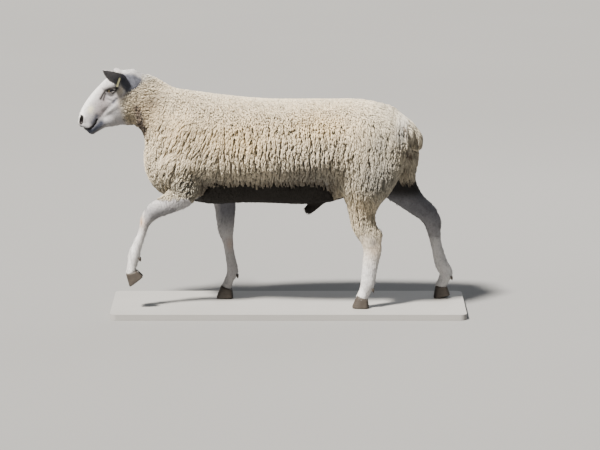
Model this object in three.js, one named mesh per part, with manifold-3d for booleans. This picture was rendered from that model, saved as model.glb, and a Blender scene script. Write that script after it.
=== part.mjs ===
// A walking ram as a life-size museum model on a flat display base.
// Millimetres, +Z up. The ram looks towards -X and its left side faces -Y.
// The origin is the middle of the underside of the base.
//
// The whole animal is one smooth distance function, made of swept limbs and ellipsoids that melt
// into each other. Each named part is meshed from that function on a grid of its own fineness and
// then parted from its neighbours by thin plane cuts.
import * as THREE from "three";
import { mergeVertices } from "three/addons/utils/BufferGeometryUtils.js";
import Module from "manifold-3d";

// ---------------------------------------------------------------- driving dimensions
const BASE = { x: [-560, 675], halfWidth: 215, thickness: 20, corner: 24 };
const CUT_GAP = 0.3; // between two neighbouring parts
const FAR = 2000; // size of a cutting block, larger than the animal
const FLOOR_GAP = 0.3; // between a sole and the base

// Grid cell of each kind of part
const CELL = {
  trunk: 48,
  neck: 32,
  head: 17,
  thigh: 27,
  forearm: 21,
  shank: 17,
  foot: 14,
  tail: 24,
  sheath: 12,
};
const PATH_STEPS = 3; // straight pieces between two stations of a form's path

// Trunk in fleece: [x, height of the middle, half height, half width]
const BARREL = [
  [-366, 588, 142, 116],
  [-300, 583, 159, 154],
  [-200, 577, 160, 183],
  [-100, 571, 155, 199],
  [0, 569, 150.5, 207],
  [100, 569, 150, 208],
  [200, 571, 148, 199],
  [300, 572, 147, 183],
  [376, 563, 137, 158],
  [434, 546, 112, 118],
];
const BARREL_POWER = 2.35; // above 2 the back is flatter than an ellipse's
const BARREL_CAP = 50; // rounding of the rump and of the breast

// Belly with short hair, hanging below the fringe of the fleece
const BELLY = [
  [-330, 500, 124, 108],
  [-220, 500, 147, 128],
  [-100, 500, 143, 148],
  [0, 500, 144, 156],
  [100, 500, 148, 156],
  [200, 505, 145, 140],
  [290, 510, 118, 100],
];

// Neck in fleece, from behind the jaw down into the chest
const NECK = [
  [-500, 719, 90, 58],
  [-448, 717, 92, 74],
  [-380, 671, 96, 97],
  [-300, 610, 122, 126],
];
const BREAST = { centre: [-342, 0, 525], radii: [100, 120, 130] };

// Head. Its own frame starts at the poll: s runs down the face to the lips, d rises from the
// line between them, and the third axis is the animal's own Y.
const POLL = new THREE.Vector3(-520, 0, 824);
const FACE_ANGLE = THREE.MathUtils.degToRad(52); // of the face below the horizontal
// [s, d of the middle, half depth, half width]
const SKULL = [
  [12, -58, 48, 48],
  [38, -37, 51, 54],
  [66, -25, 52, 57],
  [104, -17, 49, 49],
  [140, -13, 47, 40],
  [175, -13, 45, 35.5],
  [205, -15, 41, 33.5],
  [226, -19, 33, 32],
];
const MUZZLE_CAP = 22; // rounding of the nose and of the poll
const SKULL_POWER = 2.15;
const JAW = [
  [104, -85, 44, 43],
  [150, -77, 35, 38],
  [185, -61, 22, 30],
  [215, -50, 19.5, 25],
  [230, -47, 17, 23],
];
const CHEEK = { centre: [92, 22, -62], radii: [52, 36, 46] };
const BROW = { centre: [66, 43, -2], radii: [27, 17, 16] };
const MOUTH = { s: 186, d: -36 }; // corner of the lips
const EYE = { centre: [72, 45.5, -13], radius: 15.5, around: 12, high: 8 };

// Ears: cupped leaves from their roots to their tips. The right one is turned further out.
const EARS = {
  ear_left: { root: [-512, -44, 794], tip: [-580, -122, 838], opening: [0.2, -0.8, -0.55] },
  ear_right: { root: [-512, 44, 794], tip: [-551, 130, 811], opening: [-0.75, 0.35, -0.55] },
};
const EAR = {
  width: 50,
  cup: 13, // depth of the hollow at the root
  cupFade: 0.8, // share of it that is gone at the tip
  thickness: 6,
  thinning: 0.45, // share of the thickness that is gone at the tip
  tipShare: 0.985, // of the length, where the last ring closes the leaf
  rings: 7,
  around: 10,
};
// The tag leans towards the face by some degrees
const TAG = { size: [6, 1.6, 25], centre: [-524, -65, 797], lean: 16 };

// Legs, from inside the trunk down to the coronet: [x, distance from the mid plane, z,
// half depth along the animal, half width across it]
const LEGS = {
  fore_left: [
    [-322, 104, 500, 74, 58], [-304, 101, 430, 55, 44], [-316, 98, 398, 49, 38],
    [-358, 96, 369, 37, 31], [-408, 95, 344, 30, 27], [-438, 93, 305, 20, 24],
    [-448, 92, 272, 14.5, 18], [-461, 92, 241, 15.5, 16.5], [-473, 92, 209, 18.5, 17.5],
    [-479, 92, 187, 21, 20.5], [-486, 92, 155, 17, 18.5], [-490, 92, 126, 17.5, 22],
  ],
  fore_right: [
    [-240, 104, 500, 74, 58], [-190, 100, 418, 52, 42], [-168, 94, 345, 41, 33],
    [-165, 91, 290, 35, 28.5], [-163, 89, 240, 28.5, 25.5], [-157, 88, 205, 20.5, 19],
    [-149, 88, 155, 18, 16.5], [-140, 88, 97, 21.5, 21], [-151, 88, 68, 17.5, 19],
    [-163, 88, 38, 19, 23],
  ],
  hind_left: [
    [330, 92, 610, 108, 66], [328, 106, 505, 124, 76], [322, 106, 430, 97, 66],
    [316, 99, 380, 66, 50], [314, 94, 338, 50, 40], [320, 91, 293, 44, 33],
    [342, 90, 245, 38, 28], [350, 90, 204, 33, 24], [344, 90, 160, 29, 22],
    [337, 90, 110, 27, 23.5], [333, 90, 82, 25.5, 24], [324, 90, 58, 21.5, 21.5],
    [314, 90, 37, 21, 25],
  ],
  hind_right: [
    [350, 92, 610, 108, 66], [395, 106, 510, 122, 76], [424, 106, 442, 104, 66],
    [457, 101, 388, 61, 50], [505, 98, 337, 41, 38], [549, 96, 300, 36, 31],
    [567, 95, 256, 28, 26], [577, 95, 200, 21, 21], [587, 95, 160, 22, 20.5],
    [598, 95, 122, 24.5, 23.5], [614, 95, 90, 25, 24], [606, 95, 64, 21.5, 21.5],
    [596, 95, 41, 20.5, 25],
  ],
};
// Where each leg is parted: station of the knee or hock, of the fetlock, and how far above the
// hock's middle its cut lies, so that the heel bone stays with the cannon
const FORE_CUTS = { hinge: [5, 4], fetlock: [9, 7], rise: 0 };
const HIND_CUTS = { hinge: [6, 6], fetlock: [10, 10], rise: 24 };
const HEEL_BONE = { hind_left: [28, 12], hind_right: [14, 14], radii: [15, 13, 24] };

// Cloven hoof: two claws under the coronet. Forward is towards the toe.
const CLAW = {
  toe: 35, // ahead of the coronet's middle, at the sole
  heel: -25,
  front: 17, // ahead of the coronet's middle, at the coronet
  back: -21,
  frontHeight: 44, // of the coronet above the sole
  backHeight: 30,
  width: 27,
  split: 1.6, // of each claw from the mid line
  levels: [0, 0.08, 0.5, 1], // of its rings, from the sole to the coronet
  soleInset: 0.93, // size of the sole in the wall's foot
  narrowing: 0.12, // share of the width that is gone at the coronet
  toeTaper: 0.34, // share of the width that is gone at the toe
  squareness: 0.8, // below 1 the claw is fuller than an ellipse
  around: 10,
};
// Degrees, toe down
const HOOF_PITCH = { fore_left: 38, fore_right: 0, hind_left: 0, hind_right: 14 };

// Tail, docked, and the sheath under the belly
const TAIL = [
  [440, 0, 648, 24, 32],
  [474, 0, 620, 26, 37],
  [499, 0, 586, 27, 39],
  [505, 0, 562, 22, 33],
];
const SHEATH = [
  [172, 0, 374, 22, 18],
  [148, 0, 349, 20, 17],
  [127, 0, 331, 17, 15],
];

// How softly one form melts into the next
const BLEND = {
  belly: 9,
  breast: 36,
  neck: 60,
  head: 26,
  jaw: 16,
  cheek: 24,
  brow: 14,
  fore: 34,
  hind: 38,
  hock: 14,
  tail: 9,
  sheath: 12,
};

// Where the parts meet: planes by a point and a normal, walls by their x
const NECK_ROOT = { point: [-452, 0, 606], normal: [-0.8, 0, 0.6] };
const HEAD_BACK = { point: [-492, 0, 700], normal: [-1, 0, 0.06] };
const TAIL_ROOT = { point: [460, 0, 645], normal: [0.97, 0, 0.24] };
const SHOULDER_X = -212;
const RUMP_X = 205;
const TAIL_BLOCK = { x: [440, 600], y: [-52, 52], z: [500, 700] };
const SHEATH_BLOCK = { x: [90, 186], y: [-45, 45], z: [280, 346] };
const JAW_BLOCK = { long: 130, wide: 200 }; // with its corner at the corner of the lips

// The block that parts each leg from the trunk: its span in x, its nearest to the mid plane and
// its top
const LEG_BLOCKS = {
  fore_left: { x: [-620, -222], inner: 30, top: 397 },
  fore_right: { x: [-262, -90], inner: 30, top: 384 },
  hind_left: { x: [226, 560], inner: 42, top: 440 },
  hind_right: { x: [302, 720], inner: 42, top: 440 },
};
const LEG_REACH = 330; // of the blocks from the mid plane
const LEG_FLOOR = -60; // of the blocks, below the soles

// The boxes that the parts are meshed in: lowest and highest corner
const REGIONS = {
  shoulders: [[-490, -235, 320], [-150, 235, 815]],
  barrel: [[-280, -260, 310], [270, 260, 780]],
  rump: [[140, -245, 320], [560, 245, 780]],
  tail: [[425, -80, 500], [580, 80, 710]],
  neck: [[-560, -160, 560], [-290, 160, 860]],
  sheath: [[90, -45, 300], [200, 45, 400]],
  head: [[-712, -92, 580], [-470, 92, 862]],
};
// How far a leg part's box stands off its path
const LEG_MARGIN = { forearm: 70, thigh: 130, cannon: 52, pastern: 42, top: 60 };
const BASE_CORNER_STEPS = 6;

const COLOURS = {
  fleece: { color: 0xd9ccb2, roughness: 0.95, metalness: 0 },
  hair: { color: 0xd8d3cb, roughness: 0.8, metalness: 0 },
  darkHair: { color: 0x2b2623, roughness: 0.85, metalness: 0 },
  horn: { color: 0x4a4038, roughness: 0.55, metalness: 0 },
  eye: { color: 0x4a3a20, roughness: 0.08, metalness: 0 },
  tag: { color: 0xd6d27a, roughness: 0.45, metalness: 0 },
  base: { color: 0xd9d7d2, roughness: 0.6, metalness: 0 },
};

// ---------------------------------------------------------------- distance functions
const TINY = 1e-9;
const smoothMin = (a, b, k) => {
  const h = Math.max(k - Math.abs(a - b), 0) / k;
  return Math.min(a, b) - (h * h * k) / 4;
};

// Distance to a superellipsoid from a point given in its own axes, exact to first order
function roundDistance(offsets, radii, power) {
  let sum = 0;
  let slope = 0;
  for (let i = 0; i < offsets.length; i++) {
    const share = Math.abs(offsets[i]) / radii[i];
    sum += share ** power;
    slope += (share ** (power - 1) / radii[i]) ** 2;
  }
  if (sum < TINY) return -Math.min(...radii);
  const norm = sum ** (1 / power);
  return ((norm - 1) * norm ** (power - 1)) / Math.sqrt(slope);
}

const ellipsoid = ({ centre, radii }) => (x, y, z) =>
  roundDistance([x - centre[0], y - centre[1], z - centre[2]], radii, 2);

// A Catmull-Rom curve through rows of numbers, cut into equal steps
function smoothRows(rows, steps) {
  const made = [];
  const last = rows.length - 1;
  for (let i = 0; i < last; i++) {
    const [a, b, c, d] = [rows[Math.max(i - 1, 0)], rows[i], rows[i + 1], rows[Math.min(i + 2, last)]];
    for (let step = 0; step < steps; step++) {
      const t = step / steps;
      made.push(b.map((value, n) => {
        const bend = 2 * a[n] - 5 * value + 4 * c[n] - d[n];
        const twist = 3 * (value - c[n]) + d[n] - a[n];
        return value + 0.5 * t * (c[n] - a[n] + t * (bend + t * twist));
      }));
    }
  }
  made.push([...rows[last]]);
  return made;
}

// A limb: stations [x, y, z, half depth in the mid plane, half width across it] along a smooth path
function sweep(stations, { power = 2, cap = null } = {}) {
  const rows = smoothRows(stations, PATH_STEPS).map(([x, y, z, depth, width]) => ({
    at: new THREE.Vector3(x, y, z),
    depth,
    width,
  }));
  rows.forEach((row, i) => {
    const [before, after] = [rows[Math.max(i - 1, 0)], rows[Math.min(i + 1, rows.length - 1)]];
    const along = new THREE.Vector3().subVectors(after.at, before.at).normalize();
    row.across = new THREE.Vector3(0, 1, 0).addScaledVector(along, -along.y).normalize();
    row.up = new THREE.Vector3().crossVectors(along, row.across);
    row.along = along;
  });
  const segments = rows.slice(1).map((end, i) => {
    const start = rows[i];
    const span = new THREE.Vector3().subVectors(end.at, start.at);
    return { start, end, span, length2: span.lengthSq() };
  });
  return (x, y, z) => {
    let best = Infinity;
    let found = null;
    let share = 0;
    for (const segment of segments) {
      const { start: { at }, span, length2 } = segment;
      const [dx, dy, dz] = [x - at.x, y - at.y, z - at.z];
      const t = Math.min(1, Math.max(0, (dx * span.x + dy * span.y + dz * span.z) / length2));
      const away = (dx - t * span.x) ** 2 + (dy - t * span.y) ** 2 + (dz - t * span.z) ** 2;
      if (away < best) [best, found, share] = [away, segment, t];
    }
    const { start, end, span } = found;
    const offset = new THREE.Vector3(x, y, z).sub(start.at).addScaledVector(span, -share);
    const mixed = (key) => start[key].clone().lerp(end[key], share).normalize();
    const mix = (key) => start[key] + (end[key] - start[key]) * share;
    const atStart = found === segments[0] && share === 0;
    const atEnd = found === segments.at(-1) && share === 1;
    const past = atStart || atEnd ? offset.dot(mixed("along")) : 0;
    const [depth, width] = [mix("depth"), mix("width")];
    return roundDistance(
      [offset.dot(mixed("up")), offset.dot(mixed("across")), past],
      [depth, width, cap ?? Math.min(depth, width)],
      power,
    );
  };
}

// ---------------------------------------------------------------- the animal's forms
const faceAlong = new THREE.Vector3(-Math.cos(FACE_ANGLE), 0, -Math.sin(FACE_ANGLE));
const faceUp = new THREE.Vector3(-Math.sin(FACE_ANGLE), 0, Math.cos(FACE_ANGLE));
const fromFace = (s, y, d) => POLL.clone().addScaledVector(faceAlong, s).addScaledVector(faceUp, d).setY(y);
const faceRows = (rows) => rows.map(([s, d, depth, width]) => [s, 0, d, depth, width]);
const midRows = (rows) => rows.map(([x, z, depth, width]) => [x, 0, z, depth, width]);
const sideOf = (name) => (name.endsWith("left") ? -1 : 1);

function headDistance() {
  const skull = sweep(faceRows(SKULL), { cap: MUZZLE_CAP, power: SKULL_POWER });
  const jaw = sweep(faceRows(JAW));
  const cheek = ellipsoid(CHEEK);
  const brow = ellipsoid(BROW);
  return (x, y, z) => {
    const [dx, dz, side] = [x - POLL.x, z - POLL.z, Math.abs(y)];
    const s = dx * faceAlong.x + dz * faceAlong.z;
    const d = dx * faceUp.x + dz * faceUp.z;
    let near = smoothMin(skull(s, side, d), jaw(s, side, d), BLEND.jaw);
    near = smoothMin(near, cheek(s, side, d), BLEND.cheek);
    return smoothMin(near, brow(s, side, d), BLEND.brow);
  };
}

function legDistance(name) {
  const limb = sweep(LEGS[name].map(([x, y, z, depth, width]) => [x, y * sideOf(name), z, depth, width]));
  if (!HEEL_BONE[name]) return limb;
  const [x, y, z] = LEGS[name][HIND_CUTS.hinge[0]];
  const [back, up] = HEEL_BONE[name];
  const heel = ellipsoid({ centre: [x + back, y * sideOf(name), z + up], radii: HEEL_BONE.radii });
  return (...at) => smoothMin(limb(...at), heel(...at), BLEND.hock);
}

const forms = {
  barrel: sweep(midRows(BARREL), { power: BARREL_POWER, cap: BARREL_CAP }),
  belly: sweep(midRows(BELLY)),
  breast: ellipsoid(BREAST),
  neck: sweep(midRows(NECK)),
  head: headDistance(),
  tail: sweep(TAIL),
  sheath: sweep(SHEATH),
};
const LEG_NAMES = Object.keys(LEGS);
const legs = Object.fromEntries(LEG_NAMES.map((name) => [name, legDistance(name)]));

// Distance to the whole coated animal
function animal(x, y, z) {
  let near = smoothMin(forms.barrel(x, y, z), forms.belly(x, y, z), BLEND.belly);
  near = smoothMin(near, forms.breast(x, y, z), BLEND.breast);
  near = smoothMin(near, forms.neck(x, y, z), BLEND.neck);
  for (const name of LEG_NAMES)
    near = smoothMin(near, legs[name](x, y, z), name.startsWith("fore") ? BLEND.fore : BLEND.hind);
  near = smoothMin(near, forms.head(x, y, z), BLEND.head);
  near = smoothMin(near, forms.tail(x, y, z), BLEND.tail);
  return smoothMin(near, forms.sheath(x, y, z), BLEND.sheath);
}

// ---------------------------------------------------------------- meshes
const SETTLE_ROUNDS = 3;
const LEAST_STEEPNESS = 0.1; // keeps a step short where the distance hardly changes

function slopeAt(distance, [x, y, z], step = 1) {
  return [
    (distance(x + step, y, z) - distance(x - step, y, z)) / (2 * step),
    (distance(x, y + step, z) - distance(x, y - step, z)) / (2 * step),
    (distance(x, y, z + step) - distance(x, y, z - step)) / (2 * step),
  ];
}

// Moves a point along the slope until it lies on the surface
function settle(distance, point, most) {
  let at = [...point];
  for (let round = 0; round < SETTLE_ROUNDS; round++) {
    const slope = slopeAt(distance, at);
    const steep = slope[0] ** 2 + slope[1] ** 2 + slope[2] ** 2;
    const share = distance(...at) / Math.max(steep, LEAST_STEEPNESS);
    at = at.map((value, i) => value - share * slope[i]);
  }
  return Math.hypot(...at.map((value, i) => value - point[i])) < most ? at : point;
}

const CORNERS = [0, 1, 2, 3, 4, 5, 6, 7].map((n) => [n & 1, (n >> 1) & 1, n >> 2]);
const EDGES = CORNERS.flatMap((a, i) =>
  CORNERS.map((b, j) => [i, j]).filter(([p, q]) => p < q && [1, 2, 4].includes(p ^ q)));
const edgesOn = (axis, end) =>
  EDGES.map((_, n) => n).filter((n) => EDGES[n].every((corner) => CORNERS[corner][axis] === end));
const FACES = [0, 1, 2].flatMap((axis) => [edgesOn(axis, 0), edgesOn(axis, 1)]);

// The crossed edges of one grid cell, grouped by the piece of surface they bound
function crossedGroups(at) {
  const crossed = EDGES.map(([a, b]) => at[a] < 0 !== at[b] < 0);
  const group = EDGES.map((_, n) => n);
  const join = (p, q) => {
    const [from, to] = [group[p], group[q]];
    group.forEach((value, n) => { if (value === from) group[n] = to; });
  };
  for (const face of FACES) {
    const cut = face.filter((n) => crossed[n]);
    for (const p of cut)
      for (const q of cut) {
        const shared = EDGES[p].find((corner) => EDGES[q].includes(corner));
        if (cut.length === 2 || (shared !== undefined && at[shared] < 0)) join(p, q);
      }
  }
  const groups = new Map();
  crossed.forEach((value, n) => {
    if (value) groups.set(group[n], [...(groups.get(group[n]) ?? []), n]);
  });
  return [...groups.values()];
}

// A surface net: one vertex for each piece of surface in a grid cell, joined into quads.
// The grid's outermost points count as outside, so the net is always closed.
function surfaceNet(distance, [low, high], cell) {
  const count = low.map((value, i) => Math.ceil((high[i] - value) / cell) + 1);
  const index = (i, j, k) => i + count[0] * (j + count[1] * k);
  const values = new Float64Array(count[0] * count[1] * count[2]);
  const eachPoint = (visit) => {
    for (let k = 0; k < count[2]; k++)
      for (let j = 0; j < count[1]; j++)
        for (let i = 0; i < count[0]; i++) visit([i, j, k]);
  };
  const atRim = (at, last) => at.some((value, axis) => value === 0 || value === count[axis] - last);
  eachPoint((at) => {
    const value = distance(...at.map((step, axis) => low[axis] + step * cell));
    values[index(...at)] = atRim(at, 1) ? Math.max(value, cell / 2) : value;
  });

  const vertexOf = new Map(); // of a cell's edge: cell index * EDGES.length + edge
  const positions = [];
  eachPoint((at) => {
    if (at.some((value, axis) => value === count[axis] - 1)) return;
    const cornerAt = (corner) => at.map((value, axis) => value + corner[axis]);
    const around = CORNERS.map((corner) => values[index(...cornerAt(corner))]);
    for (const group of crossedGroups(around)) {
      const middle = at.map((value, axis) => {
        const places = group.map((n) => {
          const [a, b] = EDGES[n];
          const share = around[a] / (around[a] - around[b]);
          return CORNERS[a][axis] + share * (CORNERS[b][axis] - CORNERS[a][axis]);
        });
        return low[axis] + cell * (value + places.reduce((sum, place) => sum + place) / group.length);
      });
      for (const n of group) vertexOf.set(index(...at) * EDGES.length + n, positions.length / 3);
      positions.push(...(atRim(at, 2) ? middle : settle(distance, middle, cell)));
    }
  });

  const triangles = [];
  const apart = (a, b) =>
    Math.hypot(...[0, 1, 2].map((n) => positions[3 * a + n] - positions[3 * b + n]));
  const addQuad = (a, b, c, d) =>
    triangles.push(...(apart(a, c) < apart(b, d) ? [a, b, c, a, c, d] : [a, b, d, b, c, d]));
  eachPoint((at) => {
    for (let axis = 0; axis < 3; axis++) {
      const [p, q] = [(axis + 1) % 3, (axis + 2) % 3];
      if (at[axis] === count[axis] - 1 || !at[p] || !at[q]) continue;
      const next = at.map((value, n) => value + (n === axis ? 1 : 0));
      const inside = values[index(...at)] < 0;
      if (inside === values[index(...next)] < 0) continue;
      // The four cells round this edge, each seeing it as another of its own edges
      const vertexIn = (back, left) => {
        const cellAt = at.map((value, n) => value - (n === p ? back : 0) - (n === q ? left : 0));
        const corner = (back << p) | (left << q);
        const edge = EDGES.findIndex(([a, b]) => a === corner && b === (corner | (1 << axis)));
        return vertexOf.get(index(...cellAt) * EDGES.length + edge);
      };
      const ring = [vertexIn(1, 1), vertexIn(0, 1), vertexIn(0, 0), vertexIn(1, 0)];
      addQuad(...(inside ? ring : ring.reverse()));
    }
  });
  return geometryOf(positions, triangles);
}

function geometryOf(positions, triangles) {
  const geometry = new THREE.BufferGeometry();
  geometry.setAttribute("position", new THREE.BufferAttribute(new Float32Array(positions), 3));
  geometry.setIndex(triangles);
  return geometry;
}

// A closed skin over rings of points with equal counts
function loft(rings) {
  const around = rings[0].length;
  const positions = rings.flat().flatMap((point) => [point.x, point.y, point.z]);
  const triangles = [];
  for (let ring = 0; ring < rings.length - 1; ring++)
    for (let n = 0; n < around; n++) {
      const [a, b] = [ring * around + n, ring * around + ((n + 1) % around)];
      triangles.push(a, b, b + around, a, b + around, a + around);
    }
  for (const [first, turn] of [[0, -1], [(rings.length - 1) * around, 1]]) {
    const centre = positions.length / 3;
    const middle = [0, 1, 2].map((axis) => {
      let sum = 0;
      for (let n = 0; n < around; n++) sum += positions[3 * (first + n) + axis];
      return sum / around;
    });
    positions.push(...middle);
    for (let n = 0; n < around; n++) {
      const [a, b] = [first + n, first + ((n + 1) % around)];
      triangles.push(...(turn > 0 ? [centre, a, b] : [centre, b, a]));
    }
  }
  return geometryOf(positions, triangles);
}

// ---------------------------------------------------------------- solids
const wasm = await Module();
wasm.setup();
const MERGE_WITHIN = 1e-4;

// A solid from a closed mesh, turned the right way out
function solidOf(geometry) {
  const bare = new THREE.BufferGeometry();
  bare.setAttribute("position", geometry.getAttribute("position"));
  if (geometry.index) bare.setIndex(geometry.index);
  const merged = mergeVertices(bare, MERGE_WITHIN);
  const vertProperties = merged.attributes.position.array;
  const build = (triVerts) => new wasm.Manifold(new wasm.Mesh({ numProp: 3, vertProperties, triVerts }));
  const triangles = Uint32Array.from(merged.index.array);
  const solid = build(triangles);
  if (solid.volume() > 0) return solid;
  for (let n = 0; n < triangles.length; n += 3) {
    [triangles[n + 1], triangles[n + 2]] = [triangles[n + 2], triangles[n + 1]];
  }
  return build(triangles);
}

function geometryFrom(solid) {
  const { numProp, vertProperties, triVerts } = solid.getMesh();
  const positions = [];
  for (let n = 0; n < vertProperties.length; n += numProp) {
    positions.push(...vertProperties.subarray(n, n + 3));
  }
  return geometryOf(positions, Array.from(triVerts));
}

function box([x0, x1], [y0, y1], [z0, z1], grow = 0) {
  const geometry = new THREE.BoxGeometry(x1 - x0 + 2 * grow, y1 - y0 + 2 * grow, z1 - z0 + 2 * grow);
  return solidOf(geometry.translate((x0 + x1) / 2, (y0 + y1) / 2, (z0 + z1) / 2));
}

// Everything on the side of a plane that its normal points to
function halfSpace(point, normal, shift = CUT_GAP / 2) {
  const outward = new THREE.Vector3(...normal).normalize();
  const turn = new THREE.Quaternion().setFromUnitVectors(new THREE.Vector3(0, 0, 1), outward);
  const block = new THREE.BoxGeometry(FAR, FAR, FAR).translate(0, 0, FAR / 2 + shift);
  return solidOf(block.applyQuaternion(turn).translate(...point));
}

const root = new THREE.Group();
const body = new THREE.Group(); // the animal, standing on the base
body.position.z = BASE.thickness + FLOOR_GAP;
root.add(body);

function addMesh(name, geometry, colour, parent = body) {
  const mesh = new THREE.Mesh(geometry, new THREE.MeshStandardMaterial(COLOURS[colour]));
  mesh.name = name;
  parent.add(mesh);
}

const largestOf = (solid) => solid.decompose().sort((a, b) => b.volume() - a.volume())[0];

// A part of the animal: its net inside a region, kept where every cutter is and free of the others
function addPart(name, region, cell, kept, removed, colour) {
  let solid = solidOf(surfaceNet(animal, region, cell));
  for (const cutter of kept) solid = solid.intersect(cutter);
  for (const cutter of removed) solid = solid.subtract(cutter);
  addMesh(name, geometryFrom(largestOf(solid)), colour);
}

// ---------------------------------------------------------------- cuts
const opposite = ({ point, normal }) => [point, normal.map((value) => -value)];
const above = (plane) => halfSpace(plane.point, plane.normal);
const below = (plane) => halfSpace(...opposite(plane));

const sheathBlock = (grow) => box(SHEATH_BLOCK.x, SHEATH_BLOCK.y, SHEATH_BLOCK.z, grow);

function legBlock(name, grow = 0) {
  const { x, inner, top } = LEG_BLOCKS[name];
  const across = sideOf(name) < 0 ? [-LEG_REACH, -inner] : [inner, LEG_REACH];
  return box(x, across, [LEG_FLOOR, top], grow);
}

// The plane square to a leg at one of its stations, moved up the leg by some way
function crossCut(path, station, rise = 0) {
  const [before, at, after] = [path[station - 1], path[station], path[station + 1]];
  const normal = new THREE.Vector3(before[0] - after[0], 0, before[2] - after[2]).normalize();
  return { point: [at[0] + rise * normal.x, 0, at[2] + rise * normal.z], normal: normal.toArray() };
}

// ---------------------------------------------------------------- hooves
// The inner wall of a claw is flat: the ellipse is pushed out and cut at nought and at one
const CLAW_MIDDLE = 0.56;
const CLAW_FULLNESS = 0.56;

// One claw, as rings from the sole up to the coronet, in the hoof's own frame
function claw(side) {
  const { lerp, clamp } = THREE.MathUtils;
  const rings = CLAW.levels.map((level) => {
    const inset = level === 0 ? CLAW.soleInset : 1;
    const [toe, heel] = [lerp(CLAW.toe, CLAW.front, level), lerp(CLAW.heel, CLAW.back, level)];
    const [middle, half] = [(toe + heel) / 2, ((toe - heel) / 2) * inset];
    const wide = CLAW.width * (1 - CLAW.narrowing * level) * inset;
    return Array.from({ length: CLAW.around }, (_, n) => {
      const turn = (2 * Math.PI * n) / CLAW.around;
      const forward = Math.sign(Math.cos(turn)) * Math.abs(Math.cos(turn)) ** CLAW.squareness;
      const out = clamp(CLAW_MIDDLE + CLAW_FULLNESS * Math.sin(turn), 0, 1);
      const taper = 1 - CLAW.toeTaper * Math.max(0, forward) ** 2;
      const height = lerp(CLAW.backHeight, CLAW.frontHeight, (forward + 1) / 2) * level;
      return new THREE.Vector3(-(middle + half * forward), side * (CLAW.split + wide * out * taper), height);
    });
  });
  return loft(rings);
}

// The coronet's middle is where the leg's own path ends
function addHooves(name, path, side) {
  const [x, y, z] = path.at(-1);
  const pitch = THREE.MathUtils.degToRad(HOOF_PITCH[name]);
  const lift = (CLAW.frontHeight + CLAW.backHeight) / 2;
  for (const [label, half] of [["outer", side], ["inner", -side]]) {
    const geometry = claw(half).translate(0, 0, -lift).rotateY(-pitch).translate(x, y * side, z);
    const solid = solidOf(geometry).intersect(halfSpace([0, 0, 0], [0, 0, 1], 0));
    addMesh(`${name}_hoof_${label}`, geometryFrom(solid), "horn");
  }
  const slope = Math.atan2(CLAW.frontHeight - CLAW.backHeight, CLAW.front - CLAW.back) - pitch;
  const ahead = (CLAW.front + CLAW.back) / 2;
  const point = [x - ahead * Math.cos(pitch), 0, z - ahead * Math.sin(pitch)];
  return { point, normal: [Math.sin(slope), 0, Math.cos(slope)] };
}

// ---------------------------------------------------------------- legs
function addLeg(name) {
  const side = sideOf(name);
  const path = LEGS[name];
  const fore = name.startsWith("fore");
  const [upperName, colour] = fore ? ["forearm", "hair"] : ["thigh", "fleece"];
  const cuts = fore ? FORE_CUTS : HIND_CUTS;
  const pick = ([left, right]) => (side < 0 ? left : right);
  const [hinge, fetlock] = [pick(cuts.hinge), pick(cuts.fetlock)];
  const knee = crossCut(path, hinge, cuts.rise);
  const ankle = crossCut(path, fetlock);
  const coronet = addHooves(name, path, side);
  // The box round part of the leg's path
  const around = (from, to, margin) => {
    const part = path.slice(from, to + 1);
    const corner = (pickEnd, sign) => [0, 1, 2].map((axis) =>
      pickEnd(...part.map((at) => (axis === 1 ? side : 1) * at[axis])) + sign * margin);
    return [corner(Math.min, -1), corner(Math.max, 1)];
  };
  const upper = around(2, hinge, LEG_MARGIN[upperName]);
  upper[1][2] = LEG_BLOCKS[name].top + LEG_MARGIN.top;
  const shank = around(hinge - 1, fetlock, LEG_MARGIN.cannon);
  const foot = around(fetlock, path.length - 1, LEG_MARGIN.pastern);
  const aboveHoof = halfSpace(coronet.point, coronet.normal, CUT_GAP);
  addPart(`${name}_${upperName}`, upper, CELL[upperName], [legBlock(name), above(knee)], [], colour);
  addPart(`${name}_cannon`, shank, CELL.shank, [below(knee), above(ankle)], [], "hair");
  addPart(`${name}_pastern`, foot, CELL.foot, [below(ankle), aboveHoof], [], "hair");
}

// ---------------------------------------------------------------- head
// A leaf's half width at a share of its length: narrow at the root, pointed at the tip
const leafWidth = (t) => 0.5 * (1 - t) ** 0.6 + 0.62 * Math.sin(Math.PI * t ** 0.8) ** 0.9;

// Places points on an ear: t runs from root to tip, out from edge to edge, lift out of the hollow
function earPlace(name) {
  const pointOf = (key) => new THREE.Vector3(...EARS[name][key]);
  const [root, tip, opening] = [pointOf("root"), pointOf("tip"), pointOf("opening")];
  const along = tip.sub(root);
  const length = along.length();
  along.normalize();
  opening.addScaledVector(along, -opening.dot(along)).normalize();
  const across = new THREE.Vector3().crossVectors(along, opening);
  return (t, out, lift) => root.clone()
    .addScaledVector(along, t * length)
    .addScaledVector(across, (EAR.width / 2) * leafWidth(t) * out)
    .addScaledVector(opening, EAR.cup * (1 - EAR.cupFade * t) * (2 * out * out - 1) + lift);
}

// A blank plastic strip through the left ear, hanging over its hollow
function addTag() {
  const geometry = new THREE.BoxGeometry(...TAG.size).rotateY(THREE.MathUtils.degToRad(TAG.lean));
  addMesh("ear_tag", geometry.translate(...TAG.centre), "tag");
}

function addEar(name, headCutter) {
  const place = earPlace(name);
  const rings = Array.from({ length: EAR.rings }, (_, ring) => {
    const t = (ring / (EAR.rings - 1)) * EAR.tipShare;
    const thick = (EAR.thickness / 2) * (1 - EAR.thinning * t);
    return Array.from({ length: EAR.around }, (_, n) => {
      const turn = (2 * Math.PI * n) / EAR.around;
      return place(t, Math.cos(turn), Math.sin(turn) * thick);
    });
  });
  addMesh(name, geometryFrom(largestOf(solidOf(loft(rings)).subtract(headCutter))), "hair");
}

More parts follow.
